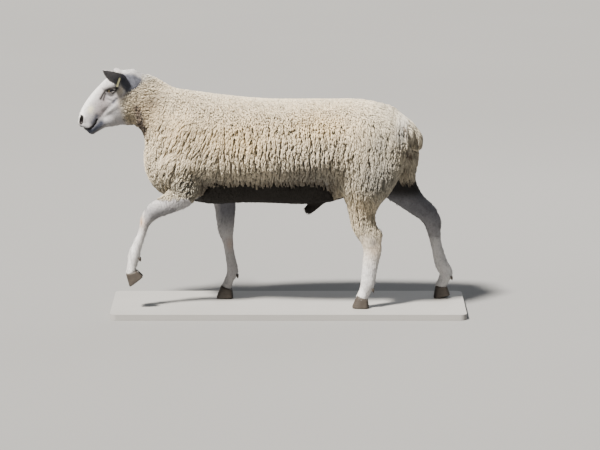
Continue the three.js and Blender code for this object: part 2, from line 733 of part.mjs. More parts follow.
// Adds an eyeball and returns its socket, which is cut out of the head
function addEye(name, side) {
  const centre = fromFace(EYE.centre[0], EYE.centre[1] * side, EYE.centre[2]);
  const ball = (radius) =>
    new THREE.SphereGeometry(radius, EYE.around, EYE.high).rotateX(Math.PI / 2).translate(...centre);
  addMesh(name, ball(EYE.radius), "eye");
  return solidOf(ball(EYE.radius + CUT_GAP));
}

function addHead() {
  const sockets = [addEye("eye_left", -1), addEye("eye_right", 1)];
  const { long, wide } = JAW_BLOCK;
  const jawBlock = (grow) => {
    const geometry = new THREE.BoxGeometry(long + 2 * grow, wide, long + 2 * grow)
      .translate(-long / 2, 0, -long / 2)
      .rotateY(-FACE_ANGLE)
      .translate(...fromFace(MOUTH.s, 0, MOUTH.d));
    return solidOf(geometry);
  };
  const front = above(HEAD_BACK);
  const headSolid = solidOf(surfaceNet(animal, REGIONS.head, CELL.head)).intersect(front);
  Object.keys(EARS).forEach((name) => addEar(name, headSolid));
  addTag();
  addPart("head", REGIONS.head, CELL.head, [front], [jawBlock(CUT_GAP), ...sockets], "hair");
  addPart("lower_jaw", REGIONS.head, CELL.head, [front, jawBlock(0)], [], "hair");
}

// ---------------------------------------------------------------- trunk, tail and base
function addTrunk() {
  const tailBlock = (grow) => {
    const behind = halfSpace(TAIL_ROOT.point, TAIL_ROOT.normal, CUT_GAP / 2 - grow);
    return box(TAIL_BLOCK.x, TAIL_BLOCK.y, TAIL_BLOCK.z, grow).intersect(behind);
  };
  const blocks = LEG_NAMES.map((name) => legBlock(name, CUT_GAP));
  const wall = (x, direction) => halfSpace([x, 0, 0], [direction, 0, 0]);
  const trunk = [
    ["shoulders", [wall(SHOULDER_X, -1), below(NECK_ROOT)], []],
    ["barrel", [wall(SHOULDER_X, 1), wall(RUMP_X, -1)], [sheathBlock(CUT_GAP)]],
    ["rump", [wall(RUMP_X, 1)], [tailBlock(CUT_GAP)]],
  ];
  for (const [name, kept, cutter] of trunk) {
    addPart(`trunk_${name}`, REGIONS[name], CELL.trunk, kept, [...blocks, ...cutter], "fleece");
  }
  addPart("tail", REGIONS.tail, CELL.tail, [tailBlock(0)], [], "fleece");
  addPart("neck", REGIONS.neck, CELL.neck, [above(NECK_ROOT), below(HEAD_BACK)], [], "fleece");
  addPart("sheath", REGIONS.sheath, CELL.sheath, [sheathBlock(0)], [], "darkHair");
}

function addBase() {
  const { x: [back, front], halfWidth, thickness, corner } = BASE;
  const outline = new THREE.Shape();
  const corners = [[front - corner, 1], [back + corner, 1], [back + corner, -1], [front - corner, -1]];
  corners.forEach(([x, side], quarter) => {
    const start = (quarter * Math.PI) / 2;
    outline.absarc(x, side * (halfWidth - corner), corner, start, start + Math.PI / 2);
  });
  const options = { depth: thickness, bevelEnabled: false, curveSegments: BASE_CORNER_STEPS };
  addMesh("stand_base", new THREE.ExtrudeGeometry(outline, options), "base", root);
}

addBase();
addTrunk();
LEG_NAMES.forEach(addLeg);
addHead();

export default root;
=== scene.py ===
"""A walking ram as a life-size museum model: one skin, a fleece of solid locks, short hair, eyes,
cloven hooves, an ear tag and a flat board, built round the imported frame."""
import logging
import math
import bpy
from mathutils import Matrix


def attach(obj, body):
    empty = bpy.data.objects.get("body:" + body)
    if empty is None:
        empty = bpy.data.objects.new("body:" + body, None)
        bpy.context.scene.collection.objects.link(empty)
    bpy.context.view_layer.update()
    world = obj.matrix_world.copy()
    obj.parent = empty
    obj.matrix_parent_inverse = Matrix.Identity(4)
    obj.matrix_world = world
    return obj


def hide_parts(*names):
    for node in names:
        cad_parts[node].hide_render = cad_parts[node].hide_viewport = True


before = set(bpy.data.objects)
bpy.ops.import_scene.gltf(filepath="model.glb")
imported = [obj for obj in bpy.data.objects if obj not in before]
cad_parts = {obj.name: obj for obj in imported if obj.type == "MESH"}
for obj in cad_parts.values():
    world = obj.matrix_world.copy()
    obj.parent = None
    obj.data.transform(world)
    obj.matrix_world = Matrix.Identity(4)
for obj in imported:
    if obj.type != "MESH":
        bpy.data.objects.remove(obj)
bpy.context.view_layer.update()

from concurrent.futures import ThreadPoolExecutor
from dataclasses import dataclass
from enum import Enum
from typing import Any, Callable, Sequence

import bmesh
import bpy
import numpy as np
from mathutils import Vector

log = logging.getLogger("ram")
Array = np.ndarray
Rows = Sequence[Sequence[float]]
Colour = tuple[float, float, float]
Material = bpy.types.Material
Piece = bpy.types.Object

# ---- sizes, in millimetres
MM = 0.001
LIFT = 20.3  # of the ram's zero above the underside of the board
PATH_STEPS = 3  # of a smooth path between two stations
CULL = 75.0  # beyond this a form can't touch its neighbours
TINY = 1e-9
CHUNK = 24000  # points that one thread works on
THREADS = 4

# Stations on the mid plane: x, z, half depth and half width
BARREL = [
    [-366, 588, 142, 116], [-300, 583, 159, 154], [-200, 577, 160, 183], [-100, 571, 155, 199],
    [0, 569, 150.5, 207], [100, 569, 150, 208], [200, 571, 148, 199], [300, 572, 147, 183],
    [376, 563, 137, 158], [434, 546, 112, 118],
]
BELLY = [
    [-330, 500, 124, 108], [-220, 500, 147, 128], [-100, 500, 143, 148], [0, 500, 144, 156],
    [100, 500, 148, 156], [200, 505, 145, 140], [290, 510, 118, 100],
]
NECK = [[-500, 719, 90, 58], [-448, 717, 92, 74], [-380, 671, 96, 97], [-300, 610, 122, 126]]
# Stations: x, y, z, half depth and half width
TAIL = [[440, 0, 648, 24, 32], [474, 0, 620, 26, 37], [499, 0, 586, 27, 39], [505, 0, 562, 22, 33]]
SHEATH = [[172, 0, 374, 22, 18], [148, 0, 349, 20, 17], [127, 0, 331, 17, 15]]
# Stations in the head's frame: down the face, up from its base line, half depth, half width
SKULL = [
    [12, -58, 48, 48], [38, -37, 51, 54], [66, -25, 52, 57], [104, -17, 49, 49],
    [140, -13, 47, 40], [175, -13, 45, 35.5], [205, -15, 41, 33.5], [226, -19, 33, 32],
]
JAW = [
    [104, -85, 44, 43], [150, -77, 35, 38], [185, -61, 22, 30], [215, -50, 19.5, 25],
    [230, -47, 17, 23],
]
# Stations: x, distance from the mid plane, z, half depth and half width
LEGS = {
    "fore_left": [
        [-322, 104, 500, 74, 58], [-304, 101, 430, 55, 44], [-316, 98, 398, 49, 38],
        [-358, 96, 369, 37, 31], [-408, 95, 344, 30, 27], [-438, 93, 305, 20, 24],
        [-448, 92, 272, 14.5, 18], [-461, 92, 241, 15.5, 16.5], [-473, 92, 209, 18.5, 17.5],
        [-479, 92, 187, 21, 20.5], [-486, 92, 155, 17, 18.5], [-490, 92, 126, 17.5, 22],
    ],
    "fore_right": [
        [-240, 104, 500, 74, 58], [-190, 100, 418, 52, 42], [-168, 94, 345, 41, 33],
        [-165, 91, 290, 35, 28.5], [-163, 89, 240, 28.5, 25.5], [-157, 88, 205, 20.5, 19],
        [-149, 88, 155, 18, 16.5], [-140, 88, 97, 21.5, 21], [-151, 88, 68, 17.5, 19],
        [-163, 88, 38, 19, 23],
    ],
    "hind_left": [
        [330, 92, 610, 108, 66], [328, 106, 505, 124, 76], [322, 106, 430, 97, 66],
        [316, 99, 380, 66, 50], [314, 94, 338, 50, 40], [320, 91, 293, 44, 33],
        [342, 90, 245, 38, 28], [350, 90, 204, 33, 24], [344, 90, 160, 29, 22],
        [337, 90, 110, 27, 23.5], [333, 90, 82, 25.5, 24], [324, 90, 58, 21.5, 21.5],
        [314, 90, 37, 21, 25],
    ],
    "hind_right": [
        [350, 92, 610, 108, 66], [395, 106, 510, 122, 76], [424, 106, 442, 104, 66],
        [457, 101, 388, 61, 50], [505, 98, 337, 41, 38], [549, 96, 300, 36, 31],
        [567, 95, 256, 28, 26], [577, 95, 200, 21, 21], [587, 95, 160, 22, 20.5],
        [598, 95, 122, 24.5, 23.5], [614, 95, 90, 25, 24], [606, 95, 64, 21.5, 21.5],
        [596, 95, 41, 20.5, 25],
    ],
}
TAIL_FOLD = ((456, 640), (462, 612), (473, 570), (485, 525), (486, 515))  # x, z
THROAT_SHADE_LINE = ((-476, 700), (-467, 668), (-463, 647), (-452, 612))  # x, z
FACE_BACK = -478.0  # x behind which no mark of the face colours the hair
HEEL_BONE = {"hind_left": (28, 12), "hind_right": (14, 14)}  # behind and above the hock
HEEL_RADII = (15, 13, 24)
HOCK_STATION = 6
HOOF_PITCH = {"fore_left": 38.0, "fore_right": 0.0, "hind_left": 0.0, "hind_right": 14.0}
BREAST = ((-342, 0, 525), (100, 120, 130))  # middle and half sizes
CHEEK, BROW = ((92, 22, -62), (52, 36, 46)), ((66, 43, -2), (27, 17, 16))  # in the head's frame
# Widths of the soft fillets where forms meet
BLEND = {
    "belly": 9, "breast": 36, "neck": 60, "head": 26, "jaw": 16, "cheek": 24, "brow": 14,
    "fore": 34, "hind": 38, "hock": 14, "tail": 9, "sheath": 12, "ear": 9,
    "lids": 9, "nostril": 4,
}
POLL = np.array([-520.0, 0.0, 824.0])
FACE_ANGLE = math.radians(52)
FACE_ALONG = np.array([-math.cos(FACE_ANGLE), 0.0, -math.sin(FACE_ANGLE)])
FACE_UP = np.array([-math.sin(FACE_ANGLE), 0.0, math.cos(FACE_ANGLE)])


# ---- small sums
def unit(vectors: Array) -> Array:
    """Scales rows of vectors to length one."""
    return vectors / np.maximum(np.linalg.norm(vectors, axis=-1, keepdims=True), TINY)


def in_plane(vectors: Array, normal: Array) -> Array:
    """Takes the part along each normal out of rows of vectors."""
    return vectors - normal * np.einsum("ij,ij->i", vectors, normal)[:, None]


def circle(count: int) -> Array:
    """Equal steps of one full turn, in radians."""
    return np.arange(count) * 2 * math.pi / count


def pitched(points: Array, angle: float) -> Array:
    """Points turned about the y axis, from +x towards +z."""
    x, y, z = points.T
    cos, sin = math.cos(angle), math.sin(angle)
    return np.stack([x * cos - z * sin, y, x * sin + z * cos], 1)


def bell(x: Array, z: Array, middle: tuple[float, float], size: tuple[float, float]) -> Array:
    """A soft round patch in a plane, 1 at its middle."""
    return np.exp(-((x - middle[0]) / size[0]) ** 2 - ((z - middle[1]) / size[1]) ** 2)


def central(rows: Rows) -> Rows:
    """Stations [x, z, half depth, half width] put on the mid plane."""
    return [[x, 0, z, deep, wide] for x, z, deep, wide in rows]


def smooth_min(a: Array, b: Array, k: float) -> Array:
    """Joins two distances with a soft fillet of width k."""
    h = np.maximum(k - np.abs(a - b), 0.0) / k
    return np.minimum(a, b) - h * h * (k / 4)


def joined(first: Array, *others: tuple[Array, str]) -> Array:
    """Joins distances one after the other, each by the fillet of its name."""
    for other, name in others:
        first = smooth_min(first, other, BLEND[name])
    return first


def ramp(value: Array, start: float, end: float) -> Array:
    """Rises smoothly from 0 at start to 1 at end, in either direction."""
    t = np.clip((value - start) / (end - start), 0.0, 1.0)
    return t * t * (3 - 2 * t)


def round_distance(offsets: Sequence[Array], radii: Sequence[Any], power: float) -> Array:
    """Distance to a superellipsoid, exact to first order.

    Args:
        offsets: coordinates of the points along the form's own axes.
        radii: its half sizes along them.
        power: 2 for an ellipsoid, more for a squarer form.

    Returns:
        The distances, negative inside.
    """
    total: Any = 0.0
    slope: Any = 0.0
    for offset, radius in zip(offsets, radii):
        share = np.abs(offset) / radius
        inner = share if power == 2 else share ** (power - 1)
        total = total + inner * share
        slope = slope + (inner / radius) ** 2
    total = np.maximum(total, TINY)
    norm = np.sqrt(total) if power == 2 else total ** (1 / power)
    steep = norm if power == 2 else norm ** (power - 1)
    return (norm - 1) * steep / np.sqrt(np.maximum(slope, TINY))


def ellipsoid(p: Array, centre: Sequence[float], radii: Sequence[float]) -> Array:
    """Distance of points to an upright ellipsoid."""
    return round_distance([p[:, n] - centre[n] for n in range(3)], radii, 2)


def line_distance(a: Array, b: Array, points: Rows) -> Array:
    """Distance of points (a, b) in a plane to a line of straight pieces."""
    best = np.full(len(a), np.inf)
    for (a0, b0), (a1, b1) in zip(points, points[1:]):
        span = np.array([a1 - a0, b1 - b0], float)
        t = np.clip(((a - a0) * span[0] + (b - b0) * span[1]) / (span @ span), 0, 1)
        best = np.minimum(best, np.hypot(a - a0 - t * span[0], b - b0 - t * span[1]))
    return best


def smooth_rows(rows: Array) -> Array:
    """Cuts a Catmull-Rom curve through rows of numbers into equal steps."""
    last = len(rows) - 1
    made = []
    for i in range(last):
        a, b, c, d = rows[max(i - 1, 0)], rows[i], rows[i + 1], rows[min(i + 2, last)]
        for step in range(PATH_STEPS):
            t = step / PATH_STEPS
            bend, twist = 2 * a - 5 * b + 4 * c - d, 3 * (b - c) + d - a
            made.append(b + 0.5 * t * (c - a + t * (bend + t * twist)))
    return np.array(made + [rows[last]])


def in_chunks(work: Callable[[Array], Array], p: Array) -> Array:
    """Runs a sum over many points on all threads.

    Args:
        work: takes rows of points and gives one row of results for each.
        p: the points.

    Returns:
        The joined results, in the points' order.
    """
    if len(p) <= CHUNK:
        return work(p)
    parts = [p[n:n + CHUNK] for n in range(0, len(p), CHUNK)]
    with ThreadPoolExecutor(THREADS) as pool:
        return np.concatenate(list(pool.map(work, parts)))


def gradient(work: Callable[[Array], Array], p: Array, step: float = 1.0) -> Array:
    """Slope of a field at points, by central differences."""
    sides = []
    for axis in range(3):
        shift = np.zeros(3)
        shift[axis] = step
        sides.append((in_chunks(work, p + shift) - in_chunks(work, p - shift)) / (2 * step))
    return np.stack(sides, 1)


# ---- forms
class Sweep:
    """A limb: rounded sections [x, y, z, half depth, half width] along a smooth path."""

    def __init__(self, stations: Rows, power: float = 2.0, cap: float | None = None) -> None:
        """Lays the sections' frames along the path."""
        rows = smooth_rows(np.array(stations, float))
        self.power, self.cap = power, cap
        self.at, self.depth, self.width = rows[:, :3], rows[:, 3], rows[:, 4]
        ahead = np.vstack([self.at[1:], self.at[-1:]])
        behind = np.vstack([self.at[:1], self.at[:-1]])
        self.along = unit(ahead - behind)
        self.across = unit(np.array([0.0, 1.0, 0.0]) - self.along * self.along[:, 1:2])
        self.up = np.cross(self.along, self.across)
        reach = rows[:, 3:].max()
        self.low, self.high = self.at.min(0) - reach, self.at.max(0) + reach

    def __call__(self, p: Array) -> Array:
        """Distance of points to the limb, rough where they are far from it."""
        outside = np.maximum(np.maximum(self.low - p, p - self.high), 0.0)
        away = np.linalg.norm(outside, axis=1)
        near = np.flatnonzero(away < CULL)
        if len(near):
            away[near] = self.exact(p[near])
        return away

    def exact(self, p: Array) -> Array:
        """Distance of points to the limb from its nearest section."""
        best = np.full(len(p), np.inf)
        which = np.zeros(len(p), int)
        share = np.zeros(len(p))
        for n in range(len(self.at) - 1):
            span = self.at[n + 1] - self.at[n]
            rel = p - self.at[n]
            t = np.clip((rel @ span) / (span @ span), 0.0, 1.0)
            rel -= t[:, None] * span
            away = np.einsum("ij,ij->i", rel, rel)
            nearer = away < best
            best[nearer], share[nearer], which[nearer] = away[nearer], t[nearer], n
        after = which + 1
        wide = share[:, None]
        offset = p - self.at[which] - wide * (self.at[after] - self.at[which])

        def along_axis(rows: Array) -> Array:
            """Part of the offset along a mixed axis."""
            axis = unit(rows[which] + wide * (rows[after] - rows[which]))
            return np.einsum("ij,ij->i", offset, axis)

        depth = self.depth[which] + share * (self.depth[after] - self.depth[which])
        width = self.width[which] + share * (self.width[after] - self.width[which])
        last = len(self.at) - 2
        past_end = ((which == 0) & (share == 0)) | ((which == last) & (share == 1))
        past = np.where(past_end, along_axis(self.along), 0.0)
        cap = np.minimum(depth, width) if self.cap is None else self.cap
        offsets = [along_axis(self.up), along_axis(self.across), past]
        return round_distance(offsets, [depth, width, cap], self.power)


@dataclass
class Ear:
    """A cupped leaf from its root to its tip, open towards one side."""

    root: tuple[float, float, float]
    tip: tuple[float, float, float]
    opening: tuple[float, float, float]
    width: float = 50
    cup: float = 13
    cup_fade: float = 0.8
    thickness: float = 6
    thinning: float = 0.45

    def __post_init__(self) -> None:
        """Works out the leaf's own axes."""
        along = np.array(self.tip, float) - np.array(self.root, float)
        self.length = float(np.linalg.norm(along))
        self.along = along / self.length
        opening = np.array(self.opening, float)
        self.out = unit(opening - self.along * (opening @ self.along))
        self.across = np.cross(self.along, self.out)

    def leaf(self, t: Array) -> Array:
        """Half width of the leaf at shares of its length."""
        t = np.clip(t, 0.0, 1.0)
        return 0.5 * (1 - t) ** 0.6 + 0.62 * np.maximum(np.sin(np.pi * t ** 0.8), 0) ** 0.9

    def axes(self, p: Array) -> tuple[Array, Array, Array, Array]:
        """Share of the length and of the half width, height over the cupped middle, and slope."""
        rel = p - np.array(self.root, float)
        t = (rel @ self.along) / self.length
        half = np.maximum(self.width / 2 * self.leaf(t), 2.0)
        side = (rel @ self.across) / half
        cup = self.cup * (1 - self.cup_fade * np.clip(t, 0, 1))
        over = np.clip(side, -1.2, 1.2)
        lift = (rel @ self.out) - cup * (2 * over * over - 1)
        return t, side, lift, np.sqrt(1 + (4 * cup * over / half) ** 2)

    def __call__(self, p: Array) -> Array:
        """Distance of points to the leaf."""
        t, side, lift, slope = self.axes(p)
        half = np.maximum(self.width / 2 * self.leaf(t), 2.0)
        thick = self.thickness / 2 * (1 - self.thinning * np.clip(t, 0, 1))
        thick = thick * np.sqrt(np.clip(1 - 0.8 * side ** 4, 0.15, 1))
        sheet = np.abs(lift) / slope - thick
        rim = (np.abs(side) - 1) * half
        ends = np.maximum(-t * self.length - 14, (t - 0.985) * self.length)
        return np.maximum(np.maximum(sheet, rim), ends)


class Paint(Enum):
    """What a mark on the face adds to the skin's colour."""

    NONE = 0
    INK = 1  # black, wet or deep; in hollows and round the eyes it is painted shade
    SLATE_AND_SHADE = 2  # blue-grey; much of it is painted shade in furrows, round the mouth and under the jaw
    PINK = 3
    STRAW = 4
    # white hair, and painted highlights on the face's ridges
    WHITE = 5


@dataclass(frozen=True)
class Mark:
    """A line on the face, in the head's own plane: a furrow or a fold, and its colour."""

    line: tuple[tuple[float, float], ...]
    width: float
    depth: float = 0.0  # positive sinks, negative rises
    paint: Paint = Paint.NONE
    strength: float = 1.0
    spread: float = 1.0  # of the colour over the furrow's own width
    sides: tuple[float, float] = (-20.0, 120.0)  # distances from the mid plane that it covers

    def shape(self, s: Array, side: Array, d: Array, spread: float = 1.0) -> Array:
        """How much of the mark is at points, from 0 to 1."""
        away = line_distance(s, d, self.line)
        inner, outer = self.sides
        reach = ramp(side, inner - 3, inner + 3) * ramp(side, outer + 3, outer - 3)
        return np.exp(-(away / (self.width * spread)) ** 2) * reach


MARKS = (
    Mark(((208, 18), (210, 2), (219, -5)), 4.0, -2.2, sides=(12, 60)),  # wing of the nostril
    Mark(((246, -12), (238, -25), (230.5, -36), (215.6, -40), (202, -40), (188, -36)), 2.9, 4.0,
         Paint.INK, 1.0, 1.35),  # mouth
    Mark(((236, -29), (214, -33), (194, -29)), 6.0, -1.5),  # upper lip
    # Painted shade under the upper lip, back to the mouth's corner
    Mark(((208, -31), (190, -29), (178, -28)), 9.0, 0.5, Paint.SLATE_AND_SHADE, 0.85, 1.1, (10, 90)),
    Mark(((180, -34), (190, -46)), 8.0, 0.0, Paint.SLATE_AND_SHADE, 0.6, 1.0, (10, 90)),
    Mark(((240, -40), (226, -50), (188, -56)), 16.0, 0.0, Paint.SLATE_AND_SHADE, 1.0, 1.1),  # chin
    Mark(((190, -62), (165, -76)), 12.0, 0.0, Paint.SLATE_AND_SHADE, 0.4),
    Mark(((242, -6), (238, -24), (228, -33)), 6.0, 0.0, Paint.SLATE_AND_SHADE, 0.6),
    Mark(((246, -4), (247, -20)), 2.6, 2.6, Paint.SLATE_AND_SHADE, 0.7, 1.3, (-20, 3)),  # cleft of the lip
    # Painted shade in the furrow above the cheek's crest
    Mark(((104, -43), (126, -41), (150, -37)), 7.0, 1.5, Paint.SLATE_AND_SHADE, 0.2, 1.1, (15, 120)),
    Mark(((82, -56), (104, -56.5), (141, -50), (165, -47), (182, -48.5)), 8.0, -1.7,
         sides=(15, 120)),  # crest of the cheek
    # Painted shade in the furrow below the cheek's crest
    Mark(((112, -71), (142, -63), (170, -58)), 10.0, 0.4, Paint.SLATE_AND_SHADE, 0.18, 1.2, (12, 120)),
    Mark(((-36, -24), (-22, -12)), 10.0, 6.0, sides=(-20, 70)),  # dip behind the poll
    # Painted shade in the cheek's crease
    Mark(((84, -45), (104, -43)), 5.0, 1.6, Paint.SLATE_AND_SHADE, 0.8, 1.2, (15, 120)),
    Mark(((84, 3), (102, 1.6), (121, -2)), 4.0, 1.2, Paint.INK, 1.0, 1.4, (10, 120)),  # tears
    Mark(((96, -3), (118, -11.5)), 3.6, 0.8, Paint.INK, 0.95, 1.3, (10, 120)),
    # Painted shadow of the brow on the upper lid
    Mark(((54, -24), (60, -13), (71, -2), (86, 4)), 6.8, 0.5, Paint.INK, 1.0, 1.0, (15, 120)),
    # Painted shade at the eye's back corner, by the dark pupil
    Mark(((53, -22), (64, -25), (76, -21)), 5.4, 0.0, Paint.INK, 1.0, 1.0, (15, 120)),
    Mark(((96, -6), (107, -20), (102, -34)), 4.5, 1.2, Paint.SLATE_AND_SHADE, 0.25, 1.2, (15, 120)),
    Mark(((50, -8), (62, 10), (84, 16)), 7.0, -2.2, sides=(20, 120)),  # brow
    Mark(((171, 5), (177, 3)), 10.0, 0.0, Paint.STRAW, 0.75, 1.0, (12, 120)),
    # Painted highlight along the top of the face
    Mark(((60, 34), (120, 34), (180, 28), (232, 12)), 15.0, 0.0, Paint.WHITE, 0.85),
    # Painted highlight on the cheek's crest
    Mark(((96, -57), (141, -50), (165, -47), (182, -48.5)), 5.0, 0.0, Paint.WHITE, 0.35, 1.0,
         (15, 120)),
    # Painted shade under the jaw
    Mark(((170, -84), (140, -116)), 17.0, 0.0, Paint.SLATE_AND_SHADE, 0.32),
    # Painted highlight on the front of the cheek's crest
    Mark(((172, -54), (188, -56)), 7.0, 0.0, Paint.WHITE, 0.6, 1.0, (15, 120)),
    Mark(((236, -8), (220, -20)), 8.0, 0.0, Paint.WHITE, 0.35, 1.0, (5, 120)),
    Mark(((36, -42), (44, -48)), 8.0, 0.0, Paint.WHITE, 0.9, 1.0, (15, 120)),
    Mark(((140, 12), (196, 4)), 18.0, 0.0, Paint.PINK, 0.25),
    Mark(((112, -16), (165, -26)), 22.0, 0.0, Paint.PINK, 0.7),
    Mark(((74, 24), (110, 10)), 12.0, 0.0, Paint.PINK, 0.5),
    Mark(((60, -60), (96, -82)), 24.0, 0.0, Paint.PINK, 0.35),
)


@dataclass(frozen=True)
class NostrilForm:
    """A hollow along a short line in the head's frame."""

    start: tuple[float, float, float] = (228.0, 20.0, 3.0)
    end: tuple[float, float, float] = (217.0, 25.0, 11.0)
    radius: float = 8.6

    def __call__(self, q: Array) -> Array:
        """Distance of points to the hollow."""
        start, span = np.array(self.start), np.array(self.end) - np.array(self.start)
        rel = q - start
        t = np.clip((rel @ span) / (span @ span), 0, 1)
        return np.linalg.norm(rel - t[:, None] * span, axis=1) - self.radius * (1 - 0.2 * t)


@dataclass(frozen=True)
class EyeForm:
    """An eyeball in its socket with an almond opening between the lids."""

    s: float = 72
    side: float = 45.5
    d: float = -13
    radius: float = 15.5
    lid: float = 17.8  # radius of the lids' outer form
    half_long: float = 15.0
    half_high: float = 6.8
    drop: float = 0.8  # of the opening below the eye's middle
    tilt: float = math.radians(43)  # of the lid line in the head's plane

    def axes(self, s: Array, side: Array, d: Array) -> tuple[Array, Array, Array]:
        """Coordinates along the lid line, up across it, and outwards."""
        e1 = np.array([math.cos(self.tilt), 0.0, math.sin(self.tilt)])
        out = unit(np.array([0.24, 0.93, 0.20]))
        e1 = unit(e1 - out * (e1 @ out))
        e2 = np.cross(e1, out)
        rel = np.stack([s - self.s, side - self.side, d - self.d], -1)
        return rel @ e1, rel @ e2, rel @ out

    def gap(self, a: Array) -> Array:
        """Half height of the opening along the lid line."""
        return self.half_high * np.clip(1 - np.abs(a / self.half_long) ** 2.2, 0, 1)


class RamForm:
    """The ram as fields of distance: coated, and bare under the coat."""

    # Where wool takes over from the head's short hair: heights, and x at them
    WOOL_FRONT = ((590, 640, 654, 690, 724, 742, 756, 772, 812, 880),
                  (-504, -510, -524, -526, -526, -520, -506, -476, -456, -456))
    COAT, HAIR = 21.0, 2.2  # depth of the wool and of the short hair
    FOOT, INTO_HOOF = 60, 5  # reach of a foot round its coronet, and of the leg into the hoof
    HEAD_START = -470  # x behind which there are no folds, lids or ears

    def __init__(self) -> None:
        """Lays out the forms that melt into each other."""
        self.barrel = Sweep(central(BARREL), 2.35, 50)
        self.belly = Sweep(central(BELLY))
        self.neck = Sweep(central(NECK))
        self.tail = Sweep(TAIL)
        self.sheath = Sweep(SHEATH)
        self.skull = Sweep(central(SKULL), 2.15, 22)
        self.jaw = Sweep(central(JAW))
        self.ears = [
            Ear((-512, -44, 794), (-580, -122, 838), (0.2, -0.8, -0.55)),
            Ear((-512, 44, 794), (-551, 130, 811), (-0.75, 0.35, -0.55)),
        ]
        self.eye, self.nostril = EyeForm(), NostrilForm()
        self.legs = {name: Sweep([[x, y * self.sign(name), *rest] for x, y, *rest in rows])
                     for name, rows in LEGS.items()}

    @staticmethod
    def sign(name: str) -> int:
        """Side of the mid plane: -1 for the left, 1 for the right."""
        return -1 if name.endswith("left") else 1

    @staticmethod
    def face(p: Array) -> Array:
        """Coordinates down the face, away from the mid plane, and up from the face's base line."""
        rel = p - POLL
        return np.stack([rel @ FACE_ALONG, np.abs(p[:, 1]), rel @ FACE_UP], 1)

    def leg(self, name: str, p: Array) -> Array:
        """Distance to one leg, cut where its hoof begins."""
        near = self.legs[name](p)
        if name in HEEL_BONE:
            x, y, z = LEGS[name][HOCK_STATION][:3]
            back, up = HEEL_BONE[name]
            centre = (x + back, y * self.sign(name), z + up)
            near = joined(near, (ellipsoid(p, centre, HEEL_RADII), "hock"))
        point, normal = Hoof.coronet(name)
        foot = np.linalg.norm(p - point, axis=1) < self.FOOT
        below = -((p - point) @ normal) - self.INTO_HOOF
        return np.where(foot, np.maximum(near, below), near)

    def head(self, p: Array) -> Array:
        """Distance to the head without its ears."""
        q = self.face(p)
        return joined(self.skull(q), (self.jaw(q), "jaw"), (ellipsoid(q, *CHEEK), "cheek"),
                      (ellipsoid(q, *BROW), "brow"))

    def coated(self, p: Array) -> Array:
        """Distance to the animal out to the tips of its coat, without the ears."""
        return joined(self.barrel(p), (self.belly(p), "belly"), (ellipsoid(p, *BREAST), "breast"),
                      (self.neck(p), "neck"), *((self.leg(name, p), name[:4]) for name in LEGS),
                      (self.head(p), "head"), (self.tail(p), "tail"), (self.sheath(p), "sheath"))

    @staticmethod
    def wobble(p: Array) -> Array:
        """A slow unevenness of the coat's borders, in millimetres."""
        x, y, z = p.T
        return 5 * np.sin(x / 17 + y / 23) + 4 * np.sin(z / 9.3 + y / 14 + 1) + 3 * np.sin(x / 6.1)

    def naked(self, p: Array) -> Array:
        """How far points lie on the belly's short hair under the fringe, from 0 to 1; the hair there
        is painted near black as shade.
        """
        x, z = p[:, 0], p[:, 2]
        belly = self.belly(p)
        under = ramp(belly - self.barrel(p), 5, -7) * ramp(belly, 16, 6)
        rise, uneven = z - 370, self.wobble(p)
        front, back = -276 + 0.6 * rise + uneven, 240 - 0.75 * rise + uneven
        return under * ramp(x, front, front + 24) * ramp(x, back, back - 22) * ramp(
            z, 453 + uneven, 433 + uneven)

    def wool(self, p: Array) -> Array:
        """How deep in wool points are, from 0 on short hair to 1 in the full fleece."""
        x, y, z = p.T
        uneven = self.wobble(p)
        front = np.interp(z, *self.WOOL_FRONT) + 0.6 * uneven
        share = ramp(x, front, front + 62)
        low = np.where(x < 0, 380, np.where(y < 0, 226, 402)) + uneven
        share = share * ramp(z, low, low + np.where(x < 0, 40, np.where(y < 0, 170, 62)))
        share = share * (1 - self.naked(p))
        share = share * (1 - ramp(np.abs(y), 70, 40) * ramp(z, 470, 430) * ramp(x, -290, -250))
        tail = ramp(self.tail(p), 12, -4) * ramp(x, 470, 486)
        return share * (1 - 0.4 * tail)

    @staticmethod
    def crease(p: Array) -> Array:
        """The fold between the rump and each side of the tail, from 0 to 1; it lowers the locks, and
        the fleece is painted dark there as shade.
        """
        away = line_distance(p[:, 0], p[:, 2], TAIL_FOLD)
        y = np.abs(p[:, 1])
        return np.exp(-(away / 6) ** 2) * ramp(y, 20, 32) * ramp(y, 105, 85)

    def bare(self, p: Array) -> Array:
        """Distance to the skin, with the face's folds, the lids and the ears."""
        near = self.coated(p) + self.HAIR + self.COAT * self.wool(p)
        front = np.flatnonzero(p[:, 0] < self.HEAD_START)
        if len(front):
            near[front] = self.face_skin(p[front], near[front])
        return near

    def face_skin(self, p: Array, near: Array) -> Array:
        """Adds folds, lids and ears to the skin near the head."""
        q = self.face(p)
        s, side, d = q.T
        for mark in MARKS:
            if mark.depth:
                near = near + mark.depth * mark.shape(s, side, d)
        a, b, c = self.eye.axes(s, side, d)
        ball = np.sqrt(a * a + (b * 1.06) ** 2 + c * c) - self.eye.lid
        near = joined(near, (ball, "lids"))
        hole = np.maximum(np.abs(b + self.eye.drop) - self.eye.gap(a), -c)
        near = np.maximum(near, -hole)
        near = -joined(-near, (self.nostril(q), "nostril"))
        return joined(near, *((ear(p), "ear") for ear in self.ears))

